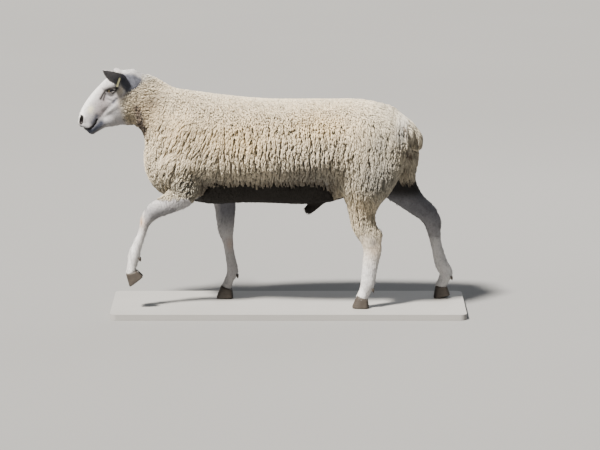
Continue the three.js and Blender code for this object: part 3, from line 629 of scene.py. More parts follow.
    def lie(self, p: Array) -> Array:
        """The way the coat lies at points, as directions along which the hair runs."""
        x, y, z = p.T
        flank = ramp(x, -420, -330) * ramp(x, -120, -230)
        along = np.stack([-0.42 * flank + 0.10 * ramp(x, 200, 420),
                          0.25 * np.clip(y / 45, -1, 1), -np.ones(len(x))], 1)
        for share, way in (
                (ramp(z, 640, 720) * ramp(x, -420, -300), (0.9, 0.0, 0.25)),  # back
                (ramp(x, -330, -440), (1.1, 0.0, 0.35)),  # neck
                (ramp(self.tail(p), 30, 0), (0.25, 0.0, -0.8)),
                (ramp(z, 420, 330), (0.1, 0.0, -0.8))):  # legs
            along += share[:, None] * np.array(way)
        face = ramp(x, -495, -525) * ramp(z, 560, 600)
        along = along * (1 - face)[:, None] + face[:, None] * FACE_ALONG
        for ear in self.ears:
            near = ramp(ear(p), 6, 2) * ramp(ear.axes(p)[0], 0.05, 0.25)
            along = along * (1 - near)[:, None] + near[:, None] * ear.along
        return unit(along)


# ---- hooves
class Hoof:
    """Cloven hooves: two claws under each coronet, and two dewclaws behind each fetlock."""

    TOE, HEEL, FRONT, BACK = 35.0, -25.0, 17.0, -21.0  # ends of the sole and of the coronet
    FRONT_HEIGHT, BACK_HEIGHT, WIDTH, SPLIT = 44.0, 30.0, 27.0, 1.6
    LEVELS = (0.0, 0.03, 0.1, 0.25, 0.45, 0.65, 0.85, 0.97, 1.0)
    INSETS = {0.0: 0.90, 0.03: 0.97, 0.97: 0.985, 1.0: 0.90}  # rounded edges, by level
    AROUND = 36
    FETLOCK = -3  # station
    DEW_RADIUS, DEW_LENGTH, DEW_AROUND = 6.5, 12, 12

    @classmethod
    def coronet(cls, name: str) -> tuple[Array, Array]:
        """A point in the plane of a leg's coronet and the plane's upward normal."""
        x, y, z = LEGS[name][-1][:3]
        pitch = math.radians(HOOF_PITCH[name])
        slope = math.atan2(cls.FRONT_HEIGHT - cls.BACK_HEIGHT, cls.FRONT - cls.BACK) - pitch
        ahead = (cls.FRONT + cls.BACK) / 2
        point = np.array([x - ahead * math.cos(pitch), y * RamForm.sign(name),
                          z - ahead * math.sin(pitch)])
        return point, np.array([math.sin(slope), 0.0, math.cos(slope)])

    @classmethod
    def rings(cls, name: str, half: int) -> Array:
        """Rings of one claw from the sole up, placed on its leg.

        Args:
            name: the leg.
            half: -1 for the claw nearer to the left, 1 for the other.

        Returns:
            Points as rings x around x 3, in millimetres.
        """
        x, y, z = LEGS[name][-1][:3]
        pitch = math.radians(HOOF_PITCH[name])
        lift = (cls.FRONT_HEIGHT + cls.BACK_HEIGHT) / 2
        turn = circle(cls.AROUND)
        forward = np.sign(np.cos(turn)) * np.abs(np.cos(turn)) ** 0.8
        out = np.clip(0.56 + 0.56 * np.sin(turn), 0, 1)
        taper = 1 - 0.34 * np.maximum(0, forward) ** 2
        rings = []
        for level in cls.LEVELS:
            inset = cls.INSETS.get(level, 1.0)
            toe = cls.TOE + (cls.FRONT - cls.TOE) * level
            heel = cls.HEEL + (cls.BACK - cls.HEEL) * level
            middle, reach = (toe + heel) / 2, (toe - heel) / 2 * inset
            wide = cls.WIDTH * (1 - 0.12 * level) * (inset + 0.012 * math.sin(40 * level))
            rise = (cls.FRONT_HEIGHT - cls.BACK_HEIGHT) * (forward + 1) / 2
            height = (cls.BACK_HEIGHT + rise) * level
            local = np.stack([-(middle + reach * forward), half * (cls.SPLIT + wide * out * taper),
                              height - lift], 1)
            placed = pitched(local, pitch) + np.array([x, y * RamForm.sign(name), z])
            placed[:, 2] = np.maximum(placed[:, 2], 0.0)
            rings.append(placed)
        return np.array(rings)

    def build(self, finish: Material) -> None:
        """Makes the eight claws and the eight dewclaws."""
        for name in LEGS:
            side = RamForm.sign(name)
            for label, half in (("outer", side), ("inner", -side)):
                piece = Maker.loft(f"hoof_{name}_{label}", self.rings(name, half), finish)
                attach(piece, "root")
                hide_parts(f"{name}_hoof_{label}")
            self.dewclaws(name, finish)
        log.info("hooves: 8 claws and 8 dewclaws")

    def dewclaws(self, name: str, finish: Material) -> None:
        """Makes the two small claws behind one fetlock."""
        x, y, z, deep, wide = LEGS[name][self.FETLOCK]
        x0, _, z0 = LEGS[name][-1][:3]
        down = unit(np.array([x0 - x, 0.0, z0 - z]))
        back = np.array([-down[2], 0.0, down[0]])
        back = back if back[0] > 0 else -back
        made = []
        turn = circle(self.DEW_AROUND)
        for half in (-1, 1):
            base = np.array([x, y * RamForm.sign(name) + half * wide * 0.5, z])
            base = base + back * deep * 0.78 + down * 5
            rings = []
            for t in (0.0, 0.35, 0.7, 0.9, 1.0):
                radius = self.DEW_RADIUS * math.sqrt(max(1 - t * t, 0.03))
                middle = base + down * self.DEW_LENGTH * t + back * (3 + 6 * t)
                across = np.array([0.0, 1.0, 0.0])
                rings.append(middle + radius * (np.cos(turn)[:, None] * across
                                                + 0.8 * np.sin(turn)[:, None] * back))
            made.append(np.array(rings))
        piece = Maker.lofts(f"dewclaws_{name}", made, finish)
        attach(piece, "root")


# ---- meshes
class Maker:
    """Turns arrays of points in millimetres into finished objects in metres."""

    @staticmethod
    def link(name: str, data: Any) -> Piece:
        """Puts a new object with some data into the scene."""
        made = bpy.data.objects.new(name, data)
        bpy.context.scene.collection.objects.link(made)
        return made

    @staticmethod
    def metres(points: Any) -> Array:
        """Places in the ram's own millimetres as places in the scene."""
        return (np.asarray(points, float) + np.array([0.0, 0.0, LIFT])) * MM

    @classmethod
    def mesh_object(cls, name: str, points: Array, faces: Any, finish: Material) -> Piece:
        """Makes a smooth-shaded mesh object at the origin.

        Args:
            name: the piece's name.
            points: its vertices, in the ram's own millimetres.
            faces: rows of vertex numbers, or an array of them.
            finish: its material.

        Returns:
            The new object, linked to the scene.
        """
        mesh = bpy.data.meshes.new(name)
        rows = faces.tolist() if isinstance(faces, np.ndarray) else faces
        mesh.from_pydata(cls.metres(points).tolist(), [], rows)
        mesh.polygons.foreach_set("use_smooth", np.ones(len(mesh.polygons), bool))
        mesh.validate()
        mesh.update()
        mesh.materials.append(finish)
        return cls.link(name, mesh)

    @staticmethod
    def band(low: int, high: int, around: int) -> list[list[int]]:
        """Quads between two rings of vertices, given by their first numbers."""
        steps = [(n, (n + 1) % around) for n in range(around)]
        return [[low + n, low + after, high + after, high + n] for n, after in steps]

    @classmethod
    def loft_faces(cls, rings: int, around: int, first: int = 0) -> list[list[int]]:
        """Quads between rings and a fan of triangles on each end's middle point."""
        faces = []
        for ring in range(first, first + (rings - 1) * around, around):
            faces += cls.band(ring, ring + around, around)
        low, high = first + rings * around, first + rings * around + 1
        top = first + (rings - 1) * around
        for n in range(around):
            after = (n + 1) % around
            faces += [[low, first + after, first + n], [high, top + n, top + after]]
        return faces

    @classmethod
    def lofts(cls, name: str, shells: Sequence[Array], finish: Material) -> Piece:
        """Makes one object of several closed skins over rings of points."""
        points: list[Array] = []
        faces: list[list[int]] = []
        first = 0
        for rings in shells:
            count, around = rings.shape[:2]
            faces += cls.loft_faces(count, around, first)
            points += [rings.reshape(-1, 3), rings[0].mean(0)[None], rings[-1].mean(0)[None]]
            first += count * around + 2
        piece = cls.mesh_object(name, np.concatenate(points), faces, finish)
        cls.outwards(piece)
        return piece

    @classmethod
    def loft(cls, name: str, rings: Array, finish: Material) -> Piece:
        """Makes one closed skin over rings of points."""
        return cls.lofts(name, [rings], finish)

    @staticmethod
    def outwards(piece: Piece) -> None:
        """Turns every face of a closed piece outwards."""
        work = bmesh.new()
        work.from_mesh(piece.data)
        bmesh.ops.recalc_face_normals(work, faces=work.faces)
        work.to_mesh(piece.data)
        work.free()

    @staticmethod
    def apply(piece: Piece) -> Piece:
        """Turns a piece's modifiers into its own mesh."""
        shown = piece.evaluated_get(bpy.context.evaluated_depsgraph_get())
        mesh = bpy.data.meshes.new_from_object(shown)
        piece.modifiers.clear()
        old = piece.data
        piece.data = mesh
        mesh.name = piece.name
        bpy.data.meshes.remove(old)
        return piece

    @staticmethod
    def triangles(piece: Piece) -> int:
        """How many triangles a piece has."""
        return sum(len(face.vertices) - 2 for face in piece.data.polygons)

    @staticmethod
    def points_of(piece: Piece) -> Array:
        """A piece's vertices in the ram's own millimetres."""
        flat = np.empty(len(piece.data.vertices) * 3)
        piece.data.vertices.foreach_get("co", flat)
        return flat.reshape(-1, 3) / MM - np.array([0.0, 0.0, LIFT])

    @staticmethod
    def attribute(piece: Piece, name: str, values: Array) -> None:
        """Stores a number or a vector on each vertex of a piece."""
        kind, key = ("FLOAT", "value") if values.ndim == 1 else ("FLOAT_VECTOR", "vector")
        made = piece.data.attributes.new(name, kind, "POINT")
        made.data.foreach_set(key, values.astype(np.float32).ravel())


class SkinNet:
    """Meshes a field on a grid whose lines lie closer where the form is finer."""

    BLOCK = 4  # cells of the fine grid in one of the first look

    def __init__(self, form: RamForm) -> None:
        """Lays the grid's lines."""
        self.work = form.bare
        # Each stop is a place and the step from there on; the last one ends the lines
        y = self.lines(((0, 2.2), (72, 3.2), (150, 9), (232, 0)))
        y = np.concatenate([-y[:0:-1], y])
        self.axes = [self.whole(lines) for lines in (
            self.lines(((-724, 2.1), (-494, 7), (652, 0))), y,
            self.lines(((-8, 5), (392, 9), (604, 2.1), (872, 0))))]

    @staticmethod
    def lines(stops: Sequence[tuple[float, float]]) -> Array:
        """Lines between stops, each stop with the step that follows it."""
        made = [np.linspace(start, end, max(int(round((end - start) / step)), 1), endpoint=False)
                for (start, step), (end, _) in zip(stops, stops[1:])]
        return np.concatenate(made + [[stops[-1][0]]])

    def whole(self, lines: Array) -> Array:
        """Adds lines at the end until they fill whole blocks."""
        extra = -(len(lines) - 1) % self.BLOCK
        step = lines[-1] - lines[-2]
        return np.concatenate([lines, lines[-1] + step * np.arange(1, extra + 1)])

    @staticmethod
    def corners(cells: Sequence[int]) -> list[tuple[slice, ...]]:
        """Windows on a grid's values at the eight corners of all its cells."""
        return [tuple(slice(n, n + length) for n, length in zip(shift, cells))
                for shift in np.ndindex(2, 2, 2)]

    def values(self) -> Array:
        """The field on the grid, exact near the surface and only its side elsewhere."""
        block = self.BLOCK
        coarse_axes = [axis[::block] for axis in self.axes]
        grid = np.stack(np.meshgrid(*coarse_axes, indexing="ij"), -1)
        coarse = in_chunks(self.work, grid.reshape(-1, 3)).reshape(grid.shape[:3])
        steps = np.meshgrid(*[np.diff(axis) for axis in coarse_axes], indexing="ij")
        size = np.sqrt(sum(step * step for step in steps))
        near = np.minimum.reduce([np.abs(coarse[window]) for window in self.corners(size.shape)])
        wanted = near < 0.75 * size
        shape = tuple(len(axis) for axis in self.axes)
        fine = np.zeros(shape, bool)
        spread = wanted.repeat(block, 0).repeat(block, 1).repeat(block, 2)
        for window in self.corners(spread.shape):
            fine[window] |= spread
        index = [np.minimum(np.arange(length) // block, len(axis) - 1)
                 for length, axis in zip(shape, coarse_axes)]
        result = np.where(coarse[np.ix_(*index)] < 0, -1e3, 1e3).astype(np.float32)
        at = np.nonzero(fine)
        points = np.stack([axis[n] for axis, n in zip(self.axes, at)], 1)
        result[at] = in_chunks(self.work, points)
        log.info("skin field: %d of %d grid points", len(points), result.size)
        return result

    def build(self) -> tuple[Array, Array]:
        """Meshes the surface.

        Returns:
            Vertices in millimetres and quads that face outwards.
        """
        values = self.values()
        cells = tuple(length - 1 for length in values.shape)
        corners = [values[window] for window in self.corners(cells)]
        inside = sum((corner < 0).astype(np.int8) for corner in corners)
        at = np.nonzero((inside > 0) & (inside < 8))
        number = np.full(cells, -1, np.int32)
        number[at] = np.arange(len(at[0]))
        here = np.stack([corner[at] for corner in corners], 1).astype(float)
        offsets = np.array(list(np.ndindex(2, 2, 2)), float)
        total, count = np.zeros((len(here), 3)), np.zeros(len(here))
        for a in range(8):
            for b in range(a + 1, 8):
                if np.abs(offsets[a] - offsets[b]).sum() != 1:
                    continue
                cross = (here[:, a] < 0) != (here[:, b] < 0)
                share = np.where(cross, here[:, a] / np.where(cross, here[:, a] - here[:, b], 1), 0)
                place = offsets[a] + share[:, None] * (offsets[b] - offsets[a])
                total += place * cross[:, None]
                count += cross
        local = total / count[:, None]
        low = np.stack([axis[n] for axis, n in zip(self.axes, at)], 1)
        high = np.stack([axis[n + 1] for axis, n in zip(self.axes, at)], 1)
        points = self.settle(low + local * (high - low), (high - low).min(1))
        return points, self.quads(values < 0, number)

    def settle(self, points: Array, cell: Array) -> Array:
        """Moves points along the slope onto the surface, by less than a cell."""
        moved = points.copy()
        for _ in range(2):
            slope = gradient(self.work, moved)
            steep = np.maximum((slope ** 2).sum(1), 0.15)
            moved -= slope * (in_chunks(self.work, moved) / steep)[:, None]
        far = np.linalg.norm(moved - points, axis=1) > 0.8 * cell
        moved[far] = points[far]
        return moved

    @staticmethod
    def quads(inside: Array, number: Array) -> Array:
        """Joins the cells round every crossed grid edge."""
        faces = []
        for axis in range(3):
            p, q = (axis + 1) % 3, (axis + 2) % 3
            first = [slice(None)] * 3
            after = [slice(None)] * 3
            first[axis], after[axis] = slice(None, -1), slice(1, None)
            here, there = inside[tuple(first)], inside[tuple(after)]
            at = np.array(np.nonzero(here != there))
            keep = np.all([(at[n] > 0) & (at[n] < number.shape[n]) for n in (p, q)], 0)
            at = at[:, keep]
            ring = []
            for back, left in ((1, 1), (0, 1), (0, 0), (1, 0)):
                cell = at.copy()
                cell[p] -= back
                cell[q] -= left
                ring.append(number[tuple(cell)])
            ring = np.stack(ring, 1)
            turned = ~here[tuple(at)]
            ring[turned] = ring[turned][:, ::-1]
            faces.append(ring)
        return np.concatenate(faces)


# ---- node plans
def adding(operation: str, swapped: bool = False) -> Callable[[Any, Any], "Wire"]:
    """Makes a method of Wire that adds one Math node, with the other value first if swapped."""

    def method(wire: "Wire", other: Any) -> "Wire":
        """Adds the node."""
        return wire.math(operation, *((other, wire) if swapped else (wire, other)))

    return method


class Wire:
    """A socket that takes part in sums written in Python."""

    __add__, __radd__ = adding("ADD"), adding("ADD", True)
    __sub__, __rsub__ = adding("SUBTRACT"), adding("SUBTRACT", True)
    __mul__, __rmul__ = adding("MULTIPLY"), adding("MULTIPLY", True)
    __truediv__, __rtruediv__ = adding("DIVIDE"), adding("DIVIDE", True)
    __pow__ = adding("POWER")

    def __init__(self, plan: "Plan", socket: bpy.types.NodeSocket) -> None:
        """Keeps the socket and the plan that it belongs to."""
        self.plan, self.socket = plan, socket

    def math(self, operation: str, *values: Any) -> "Wire":
        """Adds one Math node over the values, or over this wire if none is given."""
        return self.plan.node("ShaderNodeMath", {"operation": operation},
                              dict(enumerate(values or (self,))))

    def clamp(self) -> "Wire":
        """Kept between 0 and 1."""
        return self.math("MAXIMUM", self.math("MINIMUM", self, 1.0), 0.0)


@dataclass
class Plan:
    """Adds nodes to a shader or geometry tree."""

    tree: bpy.types.NodeTree

    def node(self, kind: str, settings: dict[str, Any] | None = None,
             values: dict[Any, Any] | None = None, out: int = 0) -> Wire:
        """Adds a node.

        Args:
            kind: the node's type.
            settings: its properties, set first.
            values: numbers, colours or wires for its inputs, by index or name.
            out: which output to give back.

        Returns:
            The wire of that output.
        """
        made = self.tree.nodes.new(kind)
        for key, value in (settings or {}).items():
            setattr(made, key, value)
        for key, value in (values or {}).items():
            socket = made.inputs[key]
            if isinstance(value, Wire):
                self.tree.links.new(value.socket, socket)
            else:
                socket.default_value = value
        return Wire(self, made.outputs[out])

    def mix(self, factor: Any, a: Any, b: Any, blend: str = "MIX") -> Wire:
        """Mixes two colours."""
        a, b = [value if isinstance(value, Wire) else (*value, 1) for value in (a, b)]
        return self.node("ShaderNodeMix", {"data_type": "RGBA", "blend_type": blend},
                         {0: factor, 6: a, 7: b}, 2)

    def shaded(self, colour: Wire, shade: Wire, blue: Any = None) -> Wire:
        """A colour darkened by a shade, with another one for its blue if given."""
        return self.mix(1.0, colour, self.vector(shade, shade, blue or shade), "MULTIPLY")

    def noise(self, place: Wire, scale: float, detail: float = 3, rough: float = 0.55) -> Wire:
        """Cloudy noise from 0 to 1."""
        return self.node("ShaderNodeTexNoise", {}, {"Vector": place, "Scale": scale,
                                                    "Detail": detail, "Roughness": rough})

    def scaled(self, place: Wire, scale: Sequence[float]) -> Wire:
        """Stretches a place along the axes."""
        return self.node("ShaderNodeVectorMath", {"operation": "MULTIPLY"},
                         {0: place, 1: tuple(scale)})

    def vector(self, *parts: Any) -> Wire:
        """A vector of up to three numbers."""
        return self.node("ShaderNodeCombineXYZ", {}, dict(enumerate(parts)))

    def bump(self, height: Wire, strength: float, distance: float) -> Wire:
        """Normals from a height, in metres at full height."""
        return self.node("ShaderNodeBump", {}, {"Strength": strength, "Distance": distance,
                                                "Height": height})

    def named(self, name: str, out: str = "Fac") -> Wire:
        """An attribute of the mesh, as a number (Fac), a colour or a vector."""
        made = self.node("ShaderNodeAttribute", {"attribute_name": name})
        return Wire(self, made.socket.node.outputs[out])

    def parts(self, vector: Wire) -> list[Wire]:
        """The three numbers of a vector."""
        made = self.node("ShaderNodeSeparateXYZ", {}, {0: vector}).socket.node
        return [Wire(self, output) for output in made.outputs]


class Finish:
    """A material with one glossy or matt shader."""

    def __init__(self, name: str, **constants: Any) -> None:
        """Starts the material.

        Args:
            name: the material's name.
            constants: numbers and colours for the shader's own sockets.
        """
        self.material = bpy.data.materials.new(name)
        self.material.use_nodes = True
        self.plan = Plan(self.material.node_tree)
        self.shader = self.material.node_tree.nodes["Principled BSDF"]
        for key, value in constants.items():
            self.shader.inputs[key.replace("_", " ")].default_value = value
        made = self.plan.node("ShaderNodeTexCoord")
        self.place = Wire(self.plan, made.socket.node.outputs["Object"])

    def feed(self, name: str, wire: Wire) -> None:
        """Links a wire to one of the shader's sockets."""
        self.material.node_tree.links.new(wire.socket, self.shader.inputs[name])


@dataclass(frozen=True)
class WoolFinish:
    """Cream wool, warm on the back, with painted shade: greyer below and on the rump, darker in folds
    and at the roots of the locks.
    """

    cream: Colour = (0.90, 0.765, 0.55)
    peach: Colour = (0.98, 0.745, 0.41)
    # painted shade low on the body and on the rump, and a random greyer tone
    grey: Colour = (0.46, 0.425, 0.35)
    # painted shade in folds, under the jaw and under the flank, and brownish patches on the neck
    brown: Colour = (0.17, 0.115, 0.07)
    white: Colour = (0.90, 0.88, 0.84)

    def material(self) -> Material:
        """Builds the wool's material."""
        finish = Finish("wool", Roughness=0.92, Sheen_Weight=0.25, Sheen_Roughness=0.6,
                        Specular_IOR_Level=0.15)
        plan = finish.plan
        warm, grey, dark = plan.parts(plan.named("mark", "Vector"))
        along, tint, pale = plan.parts(plan.named("strand", "Vector"))
        colour = plan.mix(warm, self.cream, self.peach)
        cloud = plan.noise(finish.place, 14.0, 4)
        # The grey and dark shares are mostly painted shade; the cloud adds a random grey tone
        for share, paint in ((grey, self.grey), (pale, self.white), (dark, self.brown),
                             (((cloud - 0.46) * 0.7).clamp(), self.grey)):
            colour = plan.mix(share, colour, paint)
        # Painted shade: each lock darker towards its root, and by its tint, which is darker at cracks
        # and round curls
        shade = (0.56 + 0.44 * along) * (0.50 + 1.12 * tint)
        around = plan.named("around")
        strip = plan.vector(around * 3.0, along * 1.6, tint * 70.0)
        fibre = plan.noise(strip, 3.2, 3, 0.6)
        crimp = (along * 46.0 + 5.0 * around).math("SINE")
        fibre = ((fibre - 0.5) * 2.6 + 0.5).clamp()
        shade = (shade * (0.62 + 0.52 * fibre)).clamp()
        finish.feed("Base Color", plan.shaded(colour, shade, shade * 0.985))
        finish.feed("Normal", plan.bump(fibre + 0.22 * crimp, 0.9, 0.0016))
        return finish.material


@dataclass(frozen=True)
class HairFinish:
    """Short white hair over pinkish skin, with the face's markings and painted light: highlights on
    ridges, shade in hollows, under the belly and on the far legs.
    """

    white: Colour = (0.35, 0.34, 0.342)
    # white hair, and painted highlights on the face's ridges and the near foreleg
    bright_hair_and_highlight: Colour = (0.70, 0.69, 0.68)
    pink: Colour = (0.29, 0.255, 0.262)
    # blue-grey, much of it painted shade
    slate: Colour = (0.045, 0.050, 0.070)
    # black, partly painted shade in hollows and round the eyes
    ink: Colour = (0.012, 0.010, 0.010)
    straw: Colour = (0.60, 0.56, 0.36)
    rust: Colour = (0.42, 0.26, 0.15)
    # painted shade, near black, under the belly, round the sheath and inside the hind legs
    under: Colour = (0.010, 0.008, 0.006)
    wool: Colour = (0.55, 0.48, 0.375)

    def material(self, name: str) -> Material:
        """Builds the hair's material for the skin or for tufts."""
        finish = Finish(name, Roughness=0.72, Specular_IOR_Level=0.18)
        plan = finish.plan
        ink, slate, pink = plan.parts(plan.named("face_mark", "Vector"))
        straw, rust, under = plan.parts(plan.named("body_mark", "Vector"))
        colour = plan.mix(pink, self.white, self.pink)
        cloud = plan.noise(finish.place, 26.0, 4)
        for share, paint in (
                (straw, self.straw), ((cloud - 0.42).clamp() * 0.9, self.pink),
                (plan.named("pale"), self.bright_hair_and_highlight), (plan.named("woolly"), self.wool),
                (rust, self.rust), (slate, self.slate), (under, self.under), (ink, self.ink)):
            colour = plan.mix(share, colour, paint)
        hairs = plan.noise(plan.scaled(finish.place, (1.0, 1.0, 0.35)), 900.0, 2, 0.6)
        patches = plan.noise(finish.place, 150.0, 4, 0.65)
        shade = (1.0 + 0.8 * (hairs - 0.5) + 1.5 * (patches - 0.5)).clamp()
        finish.feed("Base Color", plan.shaded(colour, shade))
        finish.feed("Roughness", 0.75 - 0.4 * ink)
        finish.feed("Normal", plan.bump(hairs + patches, 0.5, 0.0012))
        return finish.material


class SmallFinishes:
    """The finishes of horn, tag, lids, board and floor."""

    @staticmethod
    def clouded(name: str, grain: tuple[float, ...], detail: float, colours: tuple[Colour, Colour],
                **constants: float) -> tuple[Finish, Wire, Wire]:
        """Starts a finish of two colours mixed by a noise.

        Args:
            name: the material's name.
            grain: scale of the noise, or its scales along the three axes.
            detail: of the noise.
            colours: at its low and at its high values.
            constants: numbers for the shader's own sockets.

        Returns:
            The finish, the noise and the mixed colour, which is in the shader already.
        """
        finish = Finish(name, **constants)
        place, scale = finish.place, grain[0]
        if len(grain) == 3:
            place, scale = finish.plan.scaled(place, grain), 1.0
        noise = finish.plan.noise(place, scale, detail)
        colour = finish.plan.mix(noise, *colours)
        finish.feed("Base Color", colour)
        return finish, noise, colour

    @classmethod
    def horn(cls) -> Material:
        """Grey-brown horn with growth rings and worn, dusty patches."""
        finish, rings, colour = cls.clouded(
            "hoof_horn", (25.0, 25.0, 420.0), 2, ((0.018, 0.014, 0.012), (0.055, 0.044, 0.034)),
            Specular_IOR_Level=0.4)
        plan = finish.plan
        dirt = plan.noise(finish.place, 60.0, 4)
        dusty = plan.mix((dirt - 0.5).clamp() * 1.4, colour, (0.10, 0.082, 0.064))
        finish.feed("Base Color", dusty)
        finish.feed("Roughness", 0.42 + 0.4 * dirt)
        finish.feed("Normal", plan.bump(rings, 0.6, 0.0009))
        return finish.material

    @classmethod
    def plastic(cls) -> Material:
        """Pale yellow-green plastic, a little scuffed."""
        finish, wear, _ = cls.clouded(
            "tag_plastic", (320.0,), 4, ((0.64, 0.62, 0.30), (0.76, 0.74, 0.46)))
        finish.feed("Roughness", 0.3 + 0.35 * wear)
        finish.feed("Normal", finish.plan.bump(wear, 0.2, 0.0003))
        return finish.material

    @classmethod
    def lid(cls) -> Material:
        """Dark moist rim of the lids."""
        finish, fine, _ = cls.clouded(
            "lid_rim", (700.0,), 2, ((0.02, 0.016, 0.015), (0.07, 0.052, 0.05)), Roughness=0.35)
        finish.feed("Normal", finish.plan.bump(fine, 0.3, 0.0004))
        return finish.material

    @classmethod
    def board(cls) -> Material:
        """Pale painted board with faint brush marks."""
        finish, _, colour = cls.clouded(
            "painted_board", (5.0,), 3, ((0.245, 0.24, 0.23), (0.28, 0.274, 0.263)))
        plan = finish.plan
        brush = plan.noise(plan.scaled(finish.place, (6.0, 160.0, 160.0)), 1.0, 3)
        finish.feed("Base Color", plan.mix(brush * 0.25, colour, (0.205, 0.20, 0.192)))
        finish.feed("Roughness", 0.5 + 0.2 * brush)
        finish.feed("Normal", plan.bump(brush, 0.25, 0.0004))
        return finish.material

    @classmethod
    def floor(cls) -> Material:
        """Plain pale floor."""
        return cls.clouded("pale_floor", (0.4,), 2, (
            (0.165, 0.165, 0.163), (0.182, 0.182, 0.18)), Roughness=0.9)[0].material


# ---- strands
@dataclass
class Strands:
    """Chains of points along which locks or hairs are swept."""

    paths: Array  # strands x points x 3, millimetres
    radii: Array  # strands x points, millimetres
    chart: Array  # strands x 2, the root's place on the unwrapped skin
    extra: dict[str, Array]  # vectors for each point of each strand

    def part(self, chosen: Array) -> "Strands":
        """Some of the strands."""
        return Strands(self.paths[chosen], self.radii[chosen], self.chart[chosen],
                       {key: value[chosen] for key, value in self.extra.items()})


class Recipe:
    """A Geometry Nodes tree with named inputs that is run once and kept as a plain mesh."""

    def __init__(self, name: str, **inputs: str) -> None:
        """Starts the tree.

        Args:
            name: the tree's name.
            inputs: the inputs' names and kinds of socket, the geometry first.
        """
        self.tree = bpy.data.node_groups.new(name, "GeometryNodeTree")
        self.plan = Plan(self.tree)
        face = self.tree.interface
        face.new_socket("Geometry", in_out="OUTPUT", socket_type="NodeSocketGeometry")
        self.keys = {key: face.new_socket(key, in_out="INPUT",
                                          socket_type=f"NodeSocket{kind}").identifier
                     for key, kind in inputs.items()}
        start = self.tree.nodes.new("NodeGroupInput")
        self.inputs = [Wire(self.plan, output) for output in start.outputs[:len(inputs)]]

    def stored(self, name: Any, kind: str = "FLOAT") -> Wire:
        """A named attribute of the geometry."""
        return self.plan.node("GeometryNodeInputNamedAttribute", {"data_type": kind}, {0: name})

    def store(self, geometry: Wire, name: str, kind: str, domain: str, value: Wire) -> Wire:
        """Adds a named attribute to the geometry."""
        return self.plan.node("GeometryNodeStoreNamedAttribute",
                              {"data_type": kind, "domain": domain}, {0: geometry, 2: name, 3: value})

    def end(self, result: Wire) -> None:
        """Gives the tree its result."""
        self.tree.links.new(result.socket, self.tree.nodes.new("NodeGroupOutput").inputs[0])

    def run(self, piece: Piece, **values: Any) -> Piece:
        """Runs the tree on a piece with values for its inputs."""
        modifier = piece.modifiers.new(self.tree.name, "NODES")
        modifier.node_group = self.tree
        for key, value in values.items():
            modifier[self.keys[key]] = value
        return Maker.apply(piece)


class StrandSweeper:
    """Turns chains of points into closed tapered locks."""

    PATCH = 0.003  # of each lock on the bake map
    SIDES = 3  # of a lock's section

    def __init__(self) -> None:
        """Builds the tree once for every coat piece."""
        self.recipe = recipe = Recipe("lock_sweep", Chains="Geometry", Sides="Int", Patch="Float",
                                      Finish="Material")
        plan = recipe.plan
        chains, sides, patch, finish = recipe.inputs
        profile = plan.node("GeometryNodeCurvePrimitiveCircle", {}, {0: sides, 4: 1.0})
        turn = plan.node("GeometryNodeInputIndex") / sides
        turn = 1.0 - (2.0 * turn - 1.0).math("ABSOLUTE")
        profile = recipe.store(profile, "around", "FLOAT", "POINT", turn)
        curve = plan.node("GeometryNodeMeshToCurve", {}, {0: chains})
        swept = plan.node("GeometryNodeCurveToMesh", {},
                          {0: curve, 1: profile, 2: recipe.stored("lock_radius"), 3: True})
        root = plan.parts(recipe.stored("chart", "FLOAT_VECTOR"))
        along = plan.parts(recipe.stored("strand", "FLOAT_VECTOR"))[0]
        place = plan.vector(root[0] + patch * recipe.stored("around"), root[1] + patch * along)
        swept = recipe.store(swept, "OFBake", "FLOAT2", "CORNER", place)
        smooth = plan.node("GeometryNodeSetShadeSmooth", {}, {0: swept})
        solid = plan.node("GeometryNodeRealizeInstances", {}, {0: smooth})
        recipe.end(plan.node("GeometryNodeSetMaterial", {}, {0: solid, 2: finish}))

    def build(self, name: str, strands: Strands, finish: Material, slot: str) -> Piece:
        """Sweeps strands into one coat piece.

        Args:
            name: the piece's name.
            strands: the chains, their radii and their colours.
            finish: the material.
            slot: not used.

        Returns:
            The finished piece.
        """
        count, length = strands.paths.shape[:2]
        mesh = bpy.data.meshes.new(name)
        first = (np.arange(count)[:, None] * length + np.arange(length - 1)).ravel()
        mesh.vertices.add(count * length)
        mesh.vertices.foreach_set("co", Maker.metres(strands.paths.reshape(-1, 3)).ravel())
        mesh.edges.add(len(first))
        mesh.edges.foreach_set("vertices", np.stack([first, first + 1], 1).ravel())
        piece = Maker.link(name, mesh)
        Maker.attribute(piece, "lock_radius", strands.radii.ravel() * MM)
        chart = np.repeat(np.pad(strands.chart, ((0, 0), (0, 1))), length, 0)
        Maker.attribute(piece, "chart", chart)
        for key, value in strands.extra.items():
            Maker.attribute(piece, key, value.reshape(-1, 3) if value.ndim == 3 else value.ravel())
        self.recipe.run(piece, Sides=self.SIDES, Patch=self.PATCH, Finish=finish)
        for spare in ("lock_radius", "chart"):
            if spare in piece.data.attributes:
                piece.data.attributes.remove(piece.data.attributes[spare])
        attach(piece, "root")
        log.info("%s: %d strands, %d triangles", name, count, Maker.triangles(piece))
        return piece


